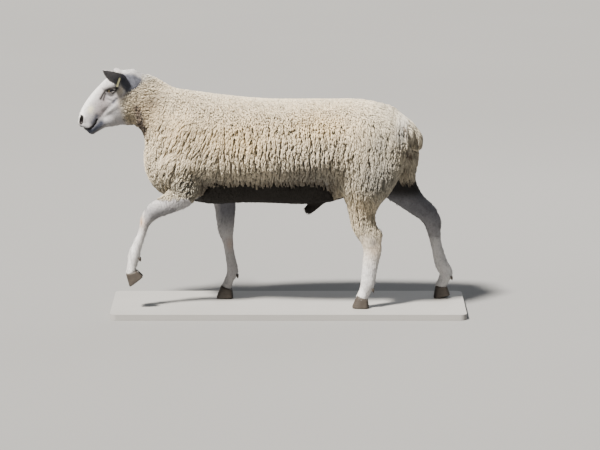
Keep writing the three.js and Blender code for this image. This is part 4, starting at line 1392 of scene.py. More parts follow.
class Scatter:
    """Spreads roots over the skin, no two nearer than a distance."""

    CROWDING = 1.6  # tries for each root that finds a place

    def __init__(self, skin: Piece) -> None:
        """Builds the tree and keeps the skin."""
        self.skin = skin
        self.recipe = recipe = Recipe("root_scatter", Skin="Geometry", Apart="Float",
                                      Where="String", Seed="Int")
        bare, apart, where, seed = recipe.inputs
        points = recipe.plan.node(
            "GeometryNodeDistributePointsOnFaces", {"distribute_method": "POISSON"},
            {0: bare, 2: apart, 3: self.CROWDING / (apart * apart), 5: recipe.stored(where), 6: seed})
        recipe.end(recipe.plan.node("GeometryNodePointsToVertices", {}, {0: points}))

    def roots(self, where: str, apart: float, seed: int) -> Array:
        """Spreads roots.

        Args:
            where: the skin's attribute that says how likely a root is.
            apart: the least distance between two roots, in millimetres.
            seed: of the random draw.

        Returns:
            The roots, in the ram's own millimetres.
        """
        spread = Maker.link("roots", self.skin.data.copy())
        self.recipe.run(spread, Apart=apart * MM, Where=where, Seed=seed)
        points = Maker.points_of(spread)
        bpy.data.objects.remove(spread)
        return points


# ---- colour of coat and skin
@dataclass
class Markings:
    """Where the coat and the skin are warm, grey, dark or rusty, with painted shade in much of the
    grey and dark and painted highlights in some of the white.
    """

    form: RamForm  # whose parts the markings follow

    # Soft patches of the wool: strength, x, z, width, height
    WARM = ((0.9, -110, 615, 120, 75), (0.8, 160, 655, 130, 50), (0.4, -330, 640, 90, 90),
            (0.6, -440, 690, 50, 60), (0.5, 250, 420, 45, 70), (0.5, 320, 370, 60, 40))
    # Grey patches, mostly painted shade: low on the flank, on the breast and in the middle of the
    # thigh
    GREY = ((0.75, 130, 475, 150, 55), (0.5, -240, 450, 90, 60), (0.75, 362, 475, 75, 75),
            (0.4, 366, 600, 25, 34))
    # Dark patches: painted shade under the jaw and low on the flank and thigh, and brownish patches on
    # the neck
    DARK = ((0.85, -462, 640, 20, 48), (0.35, -415, 722, 40, 26), (0.25, -478, 742, 26, 45),
            (0.3, -430, 715, 50, 60), (0.16, 365, 470, 60, 75), (0.34, 112, 478, 95, 44))
    PALE = ((0.6, 436, 628, 24, 40), (0.9, 188, 458, 8, 13))

    @staticmethod
    def patches(p: Array, rows: Rows) -> Array:
        """Sum of soft patches on both flanks: strength, x, z, width and height of each."""
        return sum(strength * bell(p[:, 0], p[:, 2], (x, z), (wide, high))
                   for strength, x, z, wide, high in rows)

    @staticmethod
    def painted(p: Array, paint: Paint) -> Array:
        """Share of one paint that the face's marks leave on points."""
        s, side, d = RamForm.face(p).T
        shares = [mark.strength * mark.shape(s, side, d, mark.spread)
                  for mark in MARKS if mark.paint is paint]
        return np.maximum.reduce(shares) * (p[:, 0] < FACE_BACK)

    def fleece(self, p: Array) -> Array:
        """Warm, grey and dark shares of the wool at points; the grey and dark are mostly painted
        shade.
        """
        x, y, z = p.T
        # Painted shade: grey on the rump and low on the body
        grey = self.patches(p, self.GREY) + 0.42 * ramp(x, 290, 400)
        grey = grey + 0.45 * ramp(z, 490, 420) * ramp(x, 300, 240)
        # Painted shade: dark under the jaw, in the folds by the tail, under the flank's fringe and at
        # the top of the far hind leg
        throat_shade = np.exp(-(line_distance(x, z, THROAT_SHADE_LINE) / 12) ** 2)
        dark = self.patches(p, self.DARK) + 0.85 * throat_shade + 1.1 * self.form.crease(p)
        dark = dark + 0.6 * ramp(z, 474, 432) * ramp(x, -262, -235) * ramp(x, 240, 205)
        dark = dark + 0.6 * ramp(z, 440, 405) * (y > 0) * (x > 300)
        return np.clip(np.stack([self.patches(p, self.WARM), grey, dark], 1), 0, 1)

    def face(self, p: Array) -> Array:
        """Ink, slate and pink shares of the short hair at points, with painted shade in the nostrils,
        in the ears, behind them and on the far legs.
        """
        q = RamForm.face(p)
        x, y, z = p.T
        slate = [self.painted(p, Paint.SLATE_AND_SHADE), self.leg_slate_and_shade(p)]
        # Painted shade in the ears' hollows
        for ear in self.form.ears:
            t, across, lift, _ = ear.axes(p)
            inner = ramp(lift, 0.2, 1.6) * ramp(t, 0.0, 0.12) * (t < 1.05)
            slate.append(0.78 * inner * ramp(np.abs(across), 1.0, 0.86) * (np.abs(lift) < 9))
        # Painted shadow that each ear casts on the neck behind it
        left, right = 0.6 * np.maximum(784 - z, 0) - 523, -444 - 1.5 * np.maximum(777 - z, 0)
        behind = ramp(x, left - 9, left + 6) * ramp(x, right + 10, right - 9)
        behind = behind * ramp(z + 0.29 * (x + 490), 830, 810) * ramp(np.abs(y), 24, 40)
        slate.append(0.9 * behind)
        a, b, c = self.form.eye.axes(*q.T)
        rim = np.exp(-((np.abs(b + self.form.eye.drop) - self.form.eye.gap(a)) / 3.2) ** 2)
        rim = 0.97 * rim * (np.abs(a) < 18) * (c > 4) * (x < FACE_BACK)
        # Painted shade: the nostril's hollow is painted black
        nostril = ramp(self.form.nostril(q), 5.0, 1.8)
        ink = [self.painted(p, Paint.INK), rim, nostril]
        return np.clip(np.stack([np.maximum.reduce(ink), np.maximum.reduce(slate),
                                 self.painted(p, Paint.PINK)], 1), 0, 1)

    @staticmethod
    def leg_slate_and_shade(p: Array) -> Array:
        """Grey shares of the legs' hair at points: painted shade on the far legs and under the near
        forearm, a grey spot at the near hock and a grey far hind fetlock.
        """
        x, y, z = p.T
        # Painted shade on the far legs, which lie in the body's shadow
        far_fore = 0.72 * ramp(z, 225, 320) * (y > 0) * (x > -260) * (x < -60)
        far_fore = far_fore * (1 - 0.7 * ramp(x, -176, -196))
        far_hind = 0.66 * ramp(z, 140, 330) * (y > 0) * (x > 380)
        spot = 0.62 * bell(x, z, (353, 232), (13, 17)) * (y < -80)
        # Painted shade under the near forearm
        forearm = 0.35 * ramp(z, 372, 345) * ramp(z, 300, 325) * (x < -330) * (x > -440) * (y < 0)
        fetlock = 0.3 * bell(x, z, (622, 88), (16, 18))
        return np.maximum.reduce([far_fore, far_hind, spot, forearm, fetlock]) * (z < 440)

    def pale(self, p: Array) -> Array:
        """White share of the short hair at points: white hair on the crown and the hind cannons, and
        painted highlights on the face's ridges and down the front of the near foreleg.
        """
        x, y, z = p.T
        crown = ramp(z, 812, 836) * ramp(x, -560, -530)
        # Painted highlight down the front of the near foreleg
        shin = 0.65 * ramp(x, -436, -448) * ramp(z, 372, 350) * (z > 110) * (y < 0)
        cannon = 0.5 * ramp(z, 232, 205) * (x > 0)
        return np.clip(np.maximum.reduce([crown, self.painted(p, Paint.WHITE), shin, cannon]), 0, 1)

    def woolly(self, p: Array) -> Array:
        """Share of beige wool colour in the skin and the short hair at points."""
        s, side, d = RamForm.face(p).T
        x, y, z = p.T
        cheek = 0.75 * bell(s, d, (54, -38), (15, 12)) * (x < -490) * (side > 20)
        hock = 0.9 * ramp(z, 120, 240) * (y < 0) * (x > 250)
        fleece = ramp(self.form.wool(p), 0.02, 0.3)
        return np.clip(np.maximum.reduce([fleece, cheek, 0.85 * self.jaw_wool(p), hock]), 0, 1)

    @staticmethod
    def jaw_wool(p: Array) -> Array:
        """Share of short wool on the back of the jaw, before the neck's fleece."""
        front = 0.33 * (724 - p[:, 2]) - 548
        return ramp(p[:, 0], front, front + 30) * ramp(p[:, 2], 748, 716) * (p[:, 0] < -440)

    def body(self, p: Array) -> Array:
        """Straw and rust shares of the short hair at points, and its painted shade under the belly,
        sheath and thighs.
        """
        x, y, z = p.T
        rust = 0.8 * bell(x, z, (-453, 306), (11, 20)) * (y < 0)
        rust = rust + 0.3 * (bell(x, z, (352, 205), (20, 22)) + bell(x, z, (-150, 195), (12, 22)))
        # Painted shade, near black: under the belly, round the sheath, inside the hind legs and at the
        # top of the far hind leg
        middle = ramp(np.abs(y), 78, 52) * ramp(z, 472, 440) * (x > -300)
        middle = middle * ramp(self.form.belly(p), 9, 1)
        below = ramp(self.form.sheath(p), 9, 2)
        inner = ramp(z, 300, 350) * ramp(z, 470, 430) * ramp(x, 330, 380) * ramp(y, 55, 30)
        far = 0.92 * ramp(z, 340, 392) * (y > 0) * (y < 100) * (x > 380) * ramp(z, 480, 440)
        dark = np.maximum.reduce([ramp(self.form.naked(p), 0.05, 0.4), middle, below,
                                  0.8 * inner * (y > -70), far])
        return np.clip(np.stack([self.painted(p, Paint.STRAW), rust, dark], 1), 0, 1)

    def hair(self, p: Array) -> dict[str, Array]:
        """All that colours skin and short hair at points, by the attribute's name."""
        return {"face_mark": in_chunks(self.face, p), "body_mark": in_chunks(self.body, p),
                "woolly": in_chunks(self.woolly, p), "pale": in_chunks(self.pale, p)}


# ---- coat
class Staples:
    """Clumps of locks: the cells of a grid, each with its middle shifted at random."""

    AXES = np.array([73856093, 19349663, 83492791])  # the hash's steps along the axes
    SPREAD, MIX, LIMIT, SALT = 2654435761, 2246822519, 4294967291, 40503

    def __init__(self, across: float, along: float, seed: int) -> None:
        """Keeps the cells' sizes in millimetres and the seed of their jitter."""
        self.size = np.array([across, across, along])
        self.seed = seed

    def jitter(self, cell: Array) -> Array:
        """A fixed random place inside each cell, from 0 to 1 on each axis."""
        keys = cell.astype(np.int64) @ self.AXES
        rows = []
        for n in range(3):
            mixed = (keys * self.SPREAD + (self.seed * 3 + n) * self.SALT) % self.LIMIT
            mixed = (mixed ^ (mixed >> 15)) * self.MIX % self.LIMIT
            rows.append((mixed ^ (mixed >> 13)) % 65536 / 65535)
        return np.stack(rows, 1)

    def nearest(self, p: Array) -> tuple[Array, Array, Array]:
        """Vector to the nearest clump's middle, how near the border is, and the clump's number."""
        cell = np.floor(p / self.size)
        best, second = np.full((2, len(p)), np.inf)
        vector, number = np.zeros_like(p), np.zeros(len(p))
        for shift in np.ndindex(3, 3, 3):
            other = cell + np.array(shift) - 1
            place = self.jitter(other)
            span = (other + 0.15 + 0.7 * place) * self.size - p
            away = np.linalg.norm(span / self.size, axis=1)
            nearer = away < best
            second = np.where(nearer, best, np.minimum(second, away))
            best = np.where(nearer, away, best)
            vector[nearer] = span[nearer]
            number[nearer] = place[nearer, 0]
        return vector, second - best, number


@dataclass
class Coat:
    """What the fleece and the short hair share."""

    form: RamForm
    markings: Markings
    sweeper: StrandSweeper

    DRAW = 0  # seed of the random draws
    SLOT = ""  # the record's material slot

    def __post_init__(self) -> None:
        """Starts the random draws."""
        self.random = np.random.default_rng(self.DRAW)

    @staticmethod
    def chart(roots: Array) -> Array:
        """Unwraps the roots round the trunk's axis into the unit square."""
        angle = np.arctan2(roots[:, 1], roots[:, 2] - 470)
        both = np.stack([roots[:, 0], angle], 1)
        low, high = both.min(0), both.max(0)
        return 0.01 + 0.975 * (both - low) / np.maximum(high - low, TINY)

    def piece(self, name: str, strands: Strands, roots: Array, chosen: Array,
              finish: Material) -> None:
        """Makes one coat piece of some of the strands."""
        part = strands.part(chosen)
        part.chart = self.chart(roots[chosen])
        self.sweeper.build(name, part, finish, self.SLOT)


class Fleece(Coat):
    """The wool: solid locks from the skin out to the animal's outline."""

    DRAW, SLOT = 17, "fleece"
    STEPS = np.array([0.0, 0.45, 0.80, 1.0])
    THICKNESS = np.array([0.95, 1.05, 0.88, 0.2])  # of a lock at its steps
    APART = 2.8
    SEED = 5
    CRACKS = Staples(17, 80, 3)  # long clumps, parted by the cracks down the flank
    CURLS = Staples(7, 9, 8)  # the small clumps inside them
    REGIONS = (("fleece_neck", -700, -352, 0), *(
        (f"fleece_{part}_{label}", low, high, side)
        for part, low, high in (("shoulder", -352, -140), ("flank", -140, 150),
                                ("loin", 150, 330), ("rump", 330, 700))
        for label, side in (("left", -1), ("right", 1))))

    def lie(self, roots: Array, normal: Array, rear: Array) -> Array:
        """The way each lock lies: the coat's own way, ruffled, more so on the rump."""
        lie = in_chunks(self.form.lie, roots)
        lie = lie + (0.20 * rear)[:, None] * np.sin(roots[:, [2, 0, 1]] / 19)
        lie = lie + self.random.normal(0, 1, roots.shape) * (0.10 + 0.05 * rear)[:, None]
        return unit(in_plane(lie, normal))

    def clumps(self, roots: Array, normal: Array, top: Array,
               rear: Array) -> tuple[Array, Array, Array, Array]:
        """Gathers the locks into clumps.

        Args:
            roots: places on the skin.
            normal: directions away from it.
            top: how far each root is on the back, where there are no cracks.
            rear: how far it is on the rump, where they are shallow.

        Returns:
            The pull towards the clumps' middles, the height over a crack and over the gap round a
            curl, both from 0 to 1, and the clumps' own tint.
        """
        bent = roots.copy()
        bent[:, 0] -= 0.42 * (roots[:, 2] - 560) * ramp(roots[:, 0], -150, -240)
        bent += 5.0 * np.sin(roots[:, [1, 2, 0]] / 31.0) + 3.0 * np.sin(roots[:, [2, 0, 1]] / 14.0)
        pull_a, edge_a, hue_a = self.CRACKS.nearest(bent)
        pull_b, edge_b, hue_b = self.CURLS.nearest(bent)
        pull_a[:, 2] = 0
        pull = 0.42 * in_plane(pull_a, normal) * (1 - top)[:, None]
        pull = pull + (0.30 + 0.2 * top)[:, None] * in_plane(pull_b, normal)
        crack = np.minimum(ramp(edge_a, 0.0, 0.17) + 0.75 * top + 0.5 * rear, 1.0)
        curl = np.minimum(ramp(edge_b, 0.0, 0.30) + 0.3 * rear, 1.0)
        return pull, crack, curl, 0.34 * (hue_b - 0.5) + 0.26 * (hue_a - 0.5)

    def paths(self, roots: Array) -> Strands:
        """Works out the path, thickness and colour of every lock.

        Args:
            roots: places on the skin, in millimetres.

        Returns:
            One strand for each root.
        """
        form, random, count = self.form, self.random, len(roots)
        x, _, z = roots.T
        normal = unit(gradient(form.coated, roots, 3.0))
        deep = np.clip(-in_chunks(form.coated, roots), 1.5, 60)
        top, rear = ramp(z, 622, 668), ramp(x, 215, 300)
        fringe = ramp(z, 486, 448) * ramp(x, -262, -225) * ramp(x, 232, 205)
        lie = self.lie(roots, normal, rear)
        side = np.cross(normal, lie)
        pull, crack, curl, hue = self.clumps(roots, normal, top, rear)
        size = np.sqrt(np.clip(deep / 23, 0.10, 1.2))
        height = deep * (0.97 - 0.44 * (1 - crack) - 0.13 * (1 - 0.7 * top) * (1 - curl))
        height = height * (1 - 0.72 * form.crease(roots))
        lie = unit(lie * (1 - fringe)[:, None] - np.outer(fringe, [0.0, 0.0, 1.0]))
        height = height * random.uniform(0.92, 1.0, count)
        reach = size * random.uniform(10, 20, count) * (1 - 0.25 * top - 0.2 * fringe + 0.45 * rear)
        sway = size * random.uniform(0.8, 2.4, count) * (1 + 0.7 * ramp(z, 440, 330))
        phase = random.uniform(0, 2 * math.pi, count)
        points = []
        for t in self.STEPS:
            droop = 1 - 0.10 * max(t - 0.86, 0) / 0.14  # of the tip
            rise = height * (1 - (1 - min(t * 1.12, 1.0)) ** 1.7) * droop
            wave = sway * math.sqrt(t) * np.sin(phase + 6.0 * t)
            lift = 0.35 * sway * t * np.cos(phase + 6.0 * t)
            points.append(roots + normal * (rise + lift)[:, None] + lie * (reach * t ** 1.9)[:, None]
                          + side * wave[:, None] + pull * t ** 1.5)
        paths = np.stack(points, 1)
        width = size * (1.65 + 1.1 * random.random(count) ** 1.3) * (1 + 0.15 * top - 0.22 * rear)
        radii = width[:, None] * self.THICKNESS
        spare = random.uniform(-6, 9, count) * fringe  # how far a lock may hang past the outline
        for n in range(1, len(self.STEPS)):
            over = in_chunks(form.coated, paths[:, n]) + 0.5 * radii[:, n] + 0.6 - spare
            paths[:, n] -= normal * np.maximum(over, 0)[:, None]
        tint = np.clip(0.52 + hue + random.normal(0, 0.14, count), 0, 1)
        gap = 0.28 + 0.4 * ramp(x, -380, -430)  # painted shade round the curls, deeper on the neck
        # Painted shade: locks darker at the cracks and in the gaps round the curls
        tint = tint * (0.24 + 0.76 * crack) * (1 - gap * (1 - curl))
        mark = in_chunks(self.markings.fleece, roots + normal * deep[:, None])
        pale = np.clip(1 - deep / 9, 0, 1) * ramp(x, -440, -470) + 0.75 * self.poll(roots)
        pale = pale + Markings.patches(roots, Markings.PALE)
        steps = len(self.STEPS)
        strand = np.stack([np.broadcast_to(self.STEPS, (count, steps)),
                           np.repeat(tint[:, None], steps, 1), np.repeat(pale[:, None], steps, 1)], 2)
        return Strands(paths, radii, np.zeros((count, 2)),
                       {"mark": np.repeat(mark[:, None, :], steps, 1), "strand": strand})

    @staticmethod
    def poll(p: Array) -> Array:
        """Share of white wool on the top of the neck, behind the poll."""
        return ramp(p[:, 0], -380, -440) * ramp(p[:, 2], 770, 800)

    def build(self, scatter: Scatter, finish: Material) -> None:
        """Grows the locks in regions, each one coat piece."""
        roots = scatter.roots("fleece_share", self.APART, self.SEED)
        strands = self.paths(roots)
        for name, low, high, side in self.REGIONS:
            chosen = (roots[:, 0] >= low) & (roots[:, 0] < high)
            if side:
                chosen &= (roots[:, 1] >= 0) == (side > 0)
            self.piece(name, strands, roots, chosen, finish)


class ShortHair(Coat):
    """Short hair on face, ears, legs and belly: small flat tufts over the bare skin."""

    DRAW, SLOT = 29, "hair"
    STEPS = np.array([0.0, 0.55, 1.0])
    THICKNESS = np.array([0.8, 1.0, 0.25])  # of a tuft at its steps
    APART = 2.9
    SEED = 9
    REGIONS = (("hair_head", -800, -440, 560, 900), ("hair_fore_legs", -800, 0, 0, 560),
               ("hair_hind_legs", 0, 800, 0, 560))

    @staticmethod
    def fluff(p: Array) -> Array:
        """Share of longer hair: before the ear, on the poll and round the cheek's wool."""
        s, _, d = RamForm.face(p).T
        cheek = bell(s, d, (46, -42), (15, 13))
        poll = ramp(s, 30, 5) * ramp(d, -30, -10) * (s > -30)
        made = cheek + 0.6 * poll + 0.7 * Markings.jaw_wool(p) + 0.5 * ramp(p[:, 0], -520, -498)
        return np.clip(made, 0, 1) * (p[:, 0] < -440)

    def build(self, scatter: Scatter, finish: Material) -> None:
        """Grows the tufts in three pieces."""
        roots = scatter.roots("hair_share", self.APART, self.SEED)
        form, random, count, steps = self.form, self.random, len(roots), len(self.STEPS)
        normal = unit(gradient(form.bare, roots, 1.0))
        lie = unit(in_plane(in_chunks(form.lie, roots), normal))
        side = np.cross(normal, lie)
        leg, fluff = ramp(roots[:, 2], 520, 420), self.fluff(roots)
        near_ear = np.minimum(form.ears[0](roots), form.ears[1](roots)) < 3
        length = random.uniform(4.5, 7.5, count) * (1 + 0.7 * leg) * np.where(near_ear, 0.8, 1)
        length = length * (1 + 1.1 * fluff)
        sway = random.normal(0, 0.22, count) * length
        rise = random.uniform(0.4, 0.9, count) * (1 + 0.8 * leg + 3.0 * fluff)
        rise = rise * np.where(near_ear, 0.6, 1)
        points = [roots - normal * 0.5 + normal * (rise * math.sin(2.2 * t))[:, None]
                  + lie * (length * t)[:, None] + side * (sway * t * t)[:, None] for t in self.STEPS]
        paths = np.stack(points, 1)
        radii = (random.uniform(0.34, 0.52, count) * (1 + 0.6 * leg))[:, None] * self.THICKNESS
        extra = {key: value.reshape(count, steps, *value.shape[1:])
                 for key, value in self.markings.hair(paths.reshape(-1, 3)).items()}
        extra["strand"] = np.pad(np.broadcast_to(self.STEPS[:, None], (count, steps, 1)),
                                 ((0, 0), (0, 0), (0, 2)))
        strands = Strands(paths, radii, np.zeros((count, 2)), extra)
        for name, x0, x1, z0, z1 in self.REGIONS:
            chosen = (roots[:, 0] >= x0) & (roots[:, 0] < x1)
            chosen &= (roots[:, 2] >= z0) & (roots[:, 2] < z1)
            self.piece(name, strands, roots, chosen, finish)


# ---- skin and eyes
@dataclass
class Skin:
    """The one skin of the whole animal, inside the coat."""

    form: RamForm
    markings: Markings

    FLESH = ("trunk_shoulders", "trunk_barrel", "trunk_rump", "tail", "neck", "sheath", "head",
             "lower_jaw", "ear_left", "ear_right")
    DEEP = 0.7  # share of the wool's depth from which the skin is thinned
    KEEP = 0.45  # of the faces there
    INKY = 0.35  # as dark as this, the skin stays bare

    def build(self, finish: Material) -> Piece:
        """Meshes the skin, thins it under the fleece and marks it.

        Args:
            finish: the material of skin and short hair.

        Returns:
            The skin.
        """
        points, faces = SkinNet(self.form).build()
        piece = Maker.mesh_object("skin", points, faces, finish)
        under = in_chunks(self.form.wool, Maker.points_of(piece)) > self.DEEP
        group = piece.vertex_groups.new(name="thin")
        group.add(np.flatnonzero(under).tolist(), 1.0, "REPLACE")
        modifier = piece.modifiers.new("thin", "DECIMATE")
        modifier.vertex_group, modifier.ratio = "thin", 1 - (1 - self.KEEP) * under.mean()
        Maker.apply(piece)
        piece.vertex_groups.clear()
        at = Maker.points_of(piece)
        wool = in_chunks(self.form.wool, at)
        marks = self.markings.hair(at)
        a, b, c = self.form.eye.axes(*RamForm.face(at).T)
        opening = (np.abs(a) < 17) & (np.abs(b) < 13) & (c > -4)
        dark = marks["face_mark"][:, 0] > self.INKY
        marks["fleece_share"] = ramp(wool, 0.03, 0.16) * ramp(
            in_chunks(self.form.naked, at), 0.35, 0.1)
        marks["hair_share"] = ramp(wool, 0.34, 0.2) * np.where(
            opening | dark, 0.0, np.where(at[:, 2] > 540, 1.0, 0.42))
        for name, values in marks.items():
            Maker.attribute(piece, name, values)
        legs = [f"{leg}_{part}" for leg in LEGS for part in
                ("forearm" if leg.startswith("fore") else "thigh", "cannon", "pastern")]
        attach(piece, "root")
        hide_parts(*self.FLESH, *legs)
        log.info("skin: %d triangles", Maker.triangles(piece))
        return piece


@dataclass
class Eyes:
    """Wet dark amber eyes with level pupils, and the dark rims of their lids."""

    eye: EyeForm

    PUPIL = (7.5, 5.2)  # half length and half height of the level slot
    PUPIL_BACK = 5.5  # how far it lies behind the eye's middle, as the eye looks forward
    IRIS = 11.2  # radius
    BALL_RINGS, BALL_SIDES = 24, 48
    RIM_STEPS, RIM_SIDES, RIM_RADIUS = 64, 10, 1.25

    def place(self, side: int) -> tuple[Array, Array, Array, Array]:
        """Centre of an eyeball and the axes along the lids, up and outwards, in the ram's frame."""
        eye = self.eye
        centre = POLL + FACE_ALONG * eye.s + FACE_UP * eye.d + np.array([0, eye.side * side, 0])
        basis = np.stack([FACE_ALONG, np.array([0.0, side, 0.0]), FACE_UP])
        base = np.array([[eye.s + 1, eye.side, eye.d], [eye.s, eye.side + 1, eye.d],
                         [eye.s, eye.side, eye.d + 1]], float)
        along, up, out = [np.asarray(row) @ basis for row in eye.axes(*base.T)]
        return centre, along, up, out

    def finish(self, side: int) -> Material:
        """Material of one eyeball: dark amber iris, level pupil, clear coat."""
        centre, _, _, out = self.place(side)
        level = unit(np.cross(out, np.array([0.0, 0.0, 1.0])))
        level = level if level[0] > 0 else -level
        high = np.cross(level, out)
        finish = Finish(f"eye_{'left' if side < 0 else 'right'}", Roughness=0.06, Coat_Weight=0.4,
                        Coat_Roughness=0.02, IOR=1.4, Specular_IOR_Level=0.3)
        plan = finish.plan
        middle = Maker.metres(centre)
        rel = plan.node("ShaderNodeVectorMath", {"operation": "SUBTRACT"},
                        {0: finish.place, 1: tuple(middle)})

        def part(axis: Array) -> Wire:
            """Distance from the eye's centre along an axis, in millimetres."""
            dot = plan.node("ShaderNodeVectorMath", {"operation": "DOT_PRODUCT"},
                            {0: rel, 1: tuple(axis.tolist())}, 1)
            return dot * 1000.0

        a, b = part(level), part(high)
        away = (a * a + b * b) ** 0.5
        ahead = (a - self.PUPIL_BACK) / self.PUPIL[0]
        slot = (ahead * ahead) ** 2.0 + (b * b) / self.PUPIL[1] ** 2
        pupil = ((1.15 - slot) * 4.0).clamp()
        white = ((away - self.IRIS) * 0.9).clamp()
        rays = plan.noise(plan.scaled(rel, (2.0, 2.0, 2.0)), 260.0, 4, 0.7)
        iris = plan.mix(rays, (0.030, 0.022, 0.010), (0.085, 0.070, 0.034))
        iris = plan.mix(((away / self.IRIS) ** 4.0 * 0.9).clamp(), iris, (0.03, 0.018, 0.01))
        colour = plan.mix(white, iris, (0.025, 0.018, 0.016))
        finish.feed("Base Color", plan.mix(pupil, colour, (0.004, 0.004, 0.006)))
        return finish.material

    def build(self, rim: Material) -> None:
        """Makes both eyeballs and the rims of their lids."""
        for side, label in ((-1, "left"), (1, "right")):
            centre, along, up, out = self.place(side)
            rings = []
            around = circle(self.BALL_SIDES)
            for n in range(self.BALL_RINGS + 1):
                polar = math.pi * (0.02 + 0.96 * n / self.BALL_RINGS)
                bulge = 1 + 0.045 * math.exp(-(polar / 0.5) ** 2)  # of the cornea
                ring = (math.cos(polar) * out + math.sin(polar) * (
                    np.cos(around)[:, None] * along + np.sin(around)[:, None] * up))
                rings.append(centre + self.eye.radius * bulge * ring)
            ball = Maker.loft(f"eyeball_{label}", np.array(rings), self.finish(side))
            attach(ball, "root")
            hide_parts(f"eye_{label}")
            self.rim(label, centre, along, up, out, rim)
        log.info("eyes: 2 eyeballs and 2 lid rims")

    def rim(self, label: str, centre: Array, along: Array, up: Array, out: Array,
            finish: Material) -> None:
        """Makes the dark rim round one eye's opening."""
        turn = circle(self.RIM_STEPS)
        a = (self.eye.half_long - 0.6) * np.cos(turn)
        b = np.sign(np.sin(turn)) * self.eye.gap(a) * np.minimum(1, np.abs(np.sin(turn)) * 6)
        b = b - self.eye.drop
        c = np.sqrt(np.maximum((self.eye.radius + 0.9) ** 2 - a * a - b * b, 1))
        path = centre + a[:, None] * along + b[:, None] * up + c[:, None] * out
        tangent = unit(np.roll(path, -1, 0) - np.roll(path, 1, 0))
        away = unit(path - centre)
        flat = np.cross(tangent, away)
        small = circle(self.RIM_SIDES)
        ring = np.cos(small)[:, None] * away[:, None] + np.sin(small)[:, None] * flat[:, None]
        rings = path[:, None] + self.RIM_RADIUS * ring
        faces = []
        for ring in range(self.RIM_STEPS):
            after = (ring + 1) % self.RIM_STEPS
            faces += Maker.band(ring * self.RIM_SIDES, after * self.RIM_SIDES, self.RIM_SIDES)
        piece = Maker.mesh_object(f"lid_rim_{label}", rings.reshape(-1, 3), faces, finish)
        Maker.outwards(piece)
        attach(piece, "root")


@dataclass
class EarTag:
    """A blank plastic strip with a round stud, hanging over the left ear's hollow."""

    size: tuple[float, float, float] = (6.4, 1.6, 34.0)
    centre: tuple[float, float, float] = (-529.5, -66.0, 789.0)
    lean: float = 18.0

    AROUND, CORNERS = 40, 0.35  # steps of the outlines, and how square the strip's is
    STUD, STUD_UP = 2.6, 0.62  # radius, and place over the middle as a share of half the length
    # Heights over the middle in half thicknesses, and the outline's scale there
    STRIP_LAYERS = ((-1.0, 0.9), (-0.7, 1.0), (0.7, 1.0), (1.0, 0.9))
    STUD_LAYERS = ((-2.4, 0.75), (-2.1, 1.0), (-1.2, 1.0), (1.2, 1.0), (2.1, 1.0), (2.4, 0.75))

    def build(self, finish: Material) -> None:
        """Makes the strip and its stud as one piece."""
        half_wide, half_thick, half_long = [value / 2 for value in self.size]
        turn = circle(self.AROUND)
        corner = [np.sign(row) * np.abs(row) ** self.CORNERS for row in (np.cos(turn), np.sin(turn))]
        outline = np.stack([half_wide * corner[0], half_long * corner[1]], 1)
        stud = self.STUD * np.stack([np.cos(turn), np.sin(turn)], 1)
        middle = np.array([0.0, half_long * self.STUD_UP])
        shells = [
            self.placed([[outline * scale, half_thick * level] for level, scale in self.STRIP_LAYERS]),
            self.placed([[middle + stud * scale, half_thick * level]
                         for level, scale in self.STUD_LAYERS])]
        piece = Maker.lofts("tag", shells, finish)
        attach(piece, "root")
        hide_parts("ear_tag")
        log.info("ear tag: strip and stud")

    def placed(self, layers: list[list[Any]]) -> Array:
        """Turns flat layers into rings in the ram's frame."""
        return np.array([
            pitched(np.stack([flat[:, 0], np.full(len(flat), level), flat[:, 1]], 1),
                    -math.radians(self.lean)) + np.array(self.centre) for flat, level in layers])


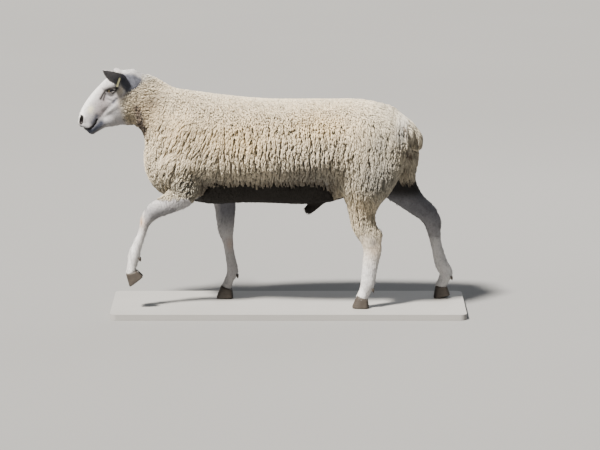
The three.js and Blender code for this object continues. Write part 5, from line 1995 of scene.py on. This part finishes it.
# ---- studio
@dataclass
class Studio:
    """Pale floor, soft lights and the camera."""

    distance: float = 12.0
    elevation: float = math.radians(10)
    target: tuple[float, float, float] = (0.098, 0.0, 0.297)
    lens: float = 205.71

    FLOOR = 80.0  # across, so that its edge is never seen

    @staticmethod
    def light(name: str, kind: str, aim: Vector, power: float, colour: Colour) -> Piece:
        """Adds a light that shines along a direction."""
        data = bpy.data.lights.new(name, kind)
        data.energy, data.color = power, colour
        lamp = Maker.link(name, data)
        lamp.rotation_euler = aim.to_track_quat("-Z", "Y").to_euler()
        return lamp

    def build(self) -> None:
        """Makes floor, world, lights and camera."""
        mesh = bpy.data.meshes.new("floor")
        half = self.FLOOR / 2
        mesh.from_pydata([(-half, -half, 0), (half, -half, 0), (half, half, 0), (-half, half, 0)],
                         [], [(0, 1, 2, 3)])
        mesh.materials.append(SmallFinishes.floor())
        floor = Maker.link("floor", mesh)
        floor.location.z = -0.0005
        world = bpy.data.worlds.new("studio")
        world.use_nodes = True
        sky = world.node_tree.nodes["Background"]
        sky.inputs[0].default_value, sky.inputs[1].default_value = (0.90, 0.94, 1.0, 1), 0.22
        bpy.context.scene.world = world
        sun = self.light("key", "SUN", Vector((0.40, 0.40, -0.825)), 18.0, (1.0, 0.95, 0.875))
        sun.data.angle = math.radians(8)
        place = Vector((1.2, 2.6, 3.0))
        back = self.light("back", "AREA", Vector((0.0, 0.0, 0.5)) - place, 60, (0.95, 0.97, 1.0))
        back.location, back.data.size = place, 2.0
        data = bpy.data.cameras.new("camera")
        data.lens, data.sensor_width = self.lens, 36.0
        data.clip_start, data.clip_end = 0.1, 200
        camera = Maker.link("camera", data)
        away = Vector((0.0, -math.cos(self.elevation), math.sin(self.elevation)))
        camera.location = Vector(self.target) + away * self.distance
        camera.rotation_euler = (-away).to_track_quat("-Z", "Y").to_euler()
        bpy.context.scene.camera = camera
        log.info("studio: floor, lights, camera")


def main() -> None:
    """Builds the studio, the ram and its coat."""
    logging.basicConfig(level=logging.INFO, format="%(name)s: %(message)s")
    Studio().build()
    form = RamForm()
    markings = Markings(form)
    hair = HairFinish().material("short_hair")
    skin = Skin(form, markings).build(hair)
    Hoof().build(SmallFinishes.horn())
    Eyes(form.eye).build(SmallFinishes.lid())
    EarTag().build(SmallFinishes.plastic())
    sweeper, scatter = StrandSweeper(), Scatter(skin)
    Fleece(form, markings, sweeper).build(scatter, WoolFinish().material())
    ShortHair(form, markings, sweeper).build(scatter, hair)
    board = bpy.data.objects["stand_base"]
    for slot in board.material_slots:
        slot.material = SmallFinishes.board()


if __name__ == "__main__":
    main()
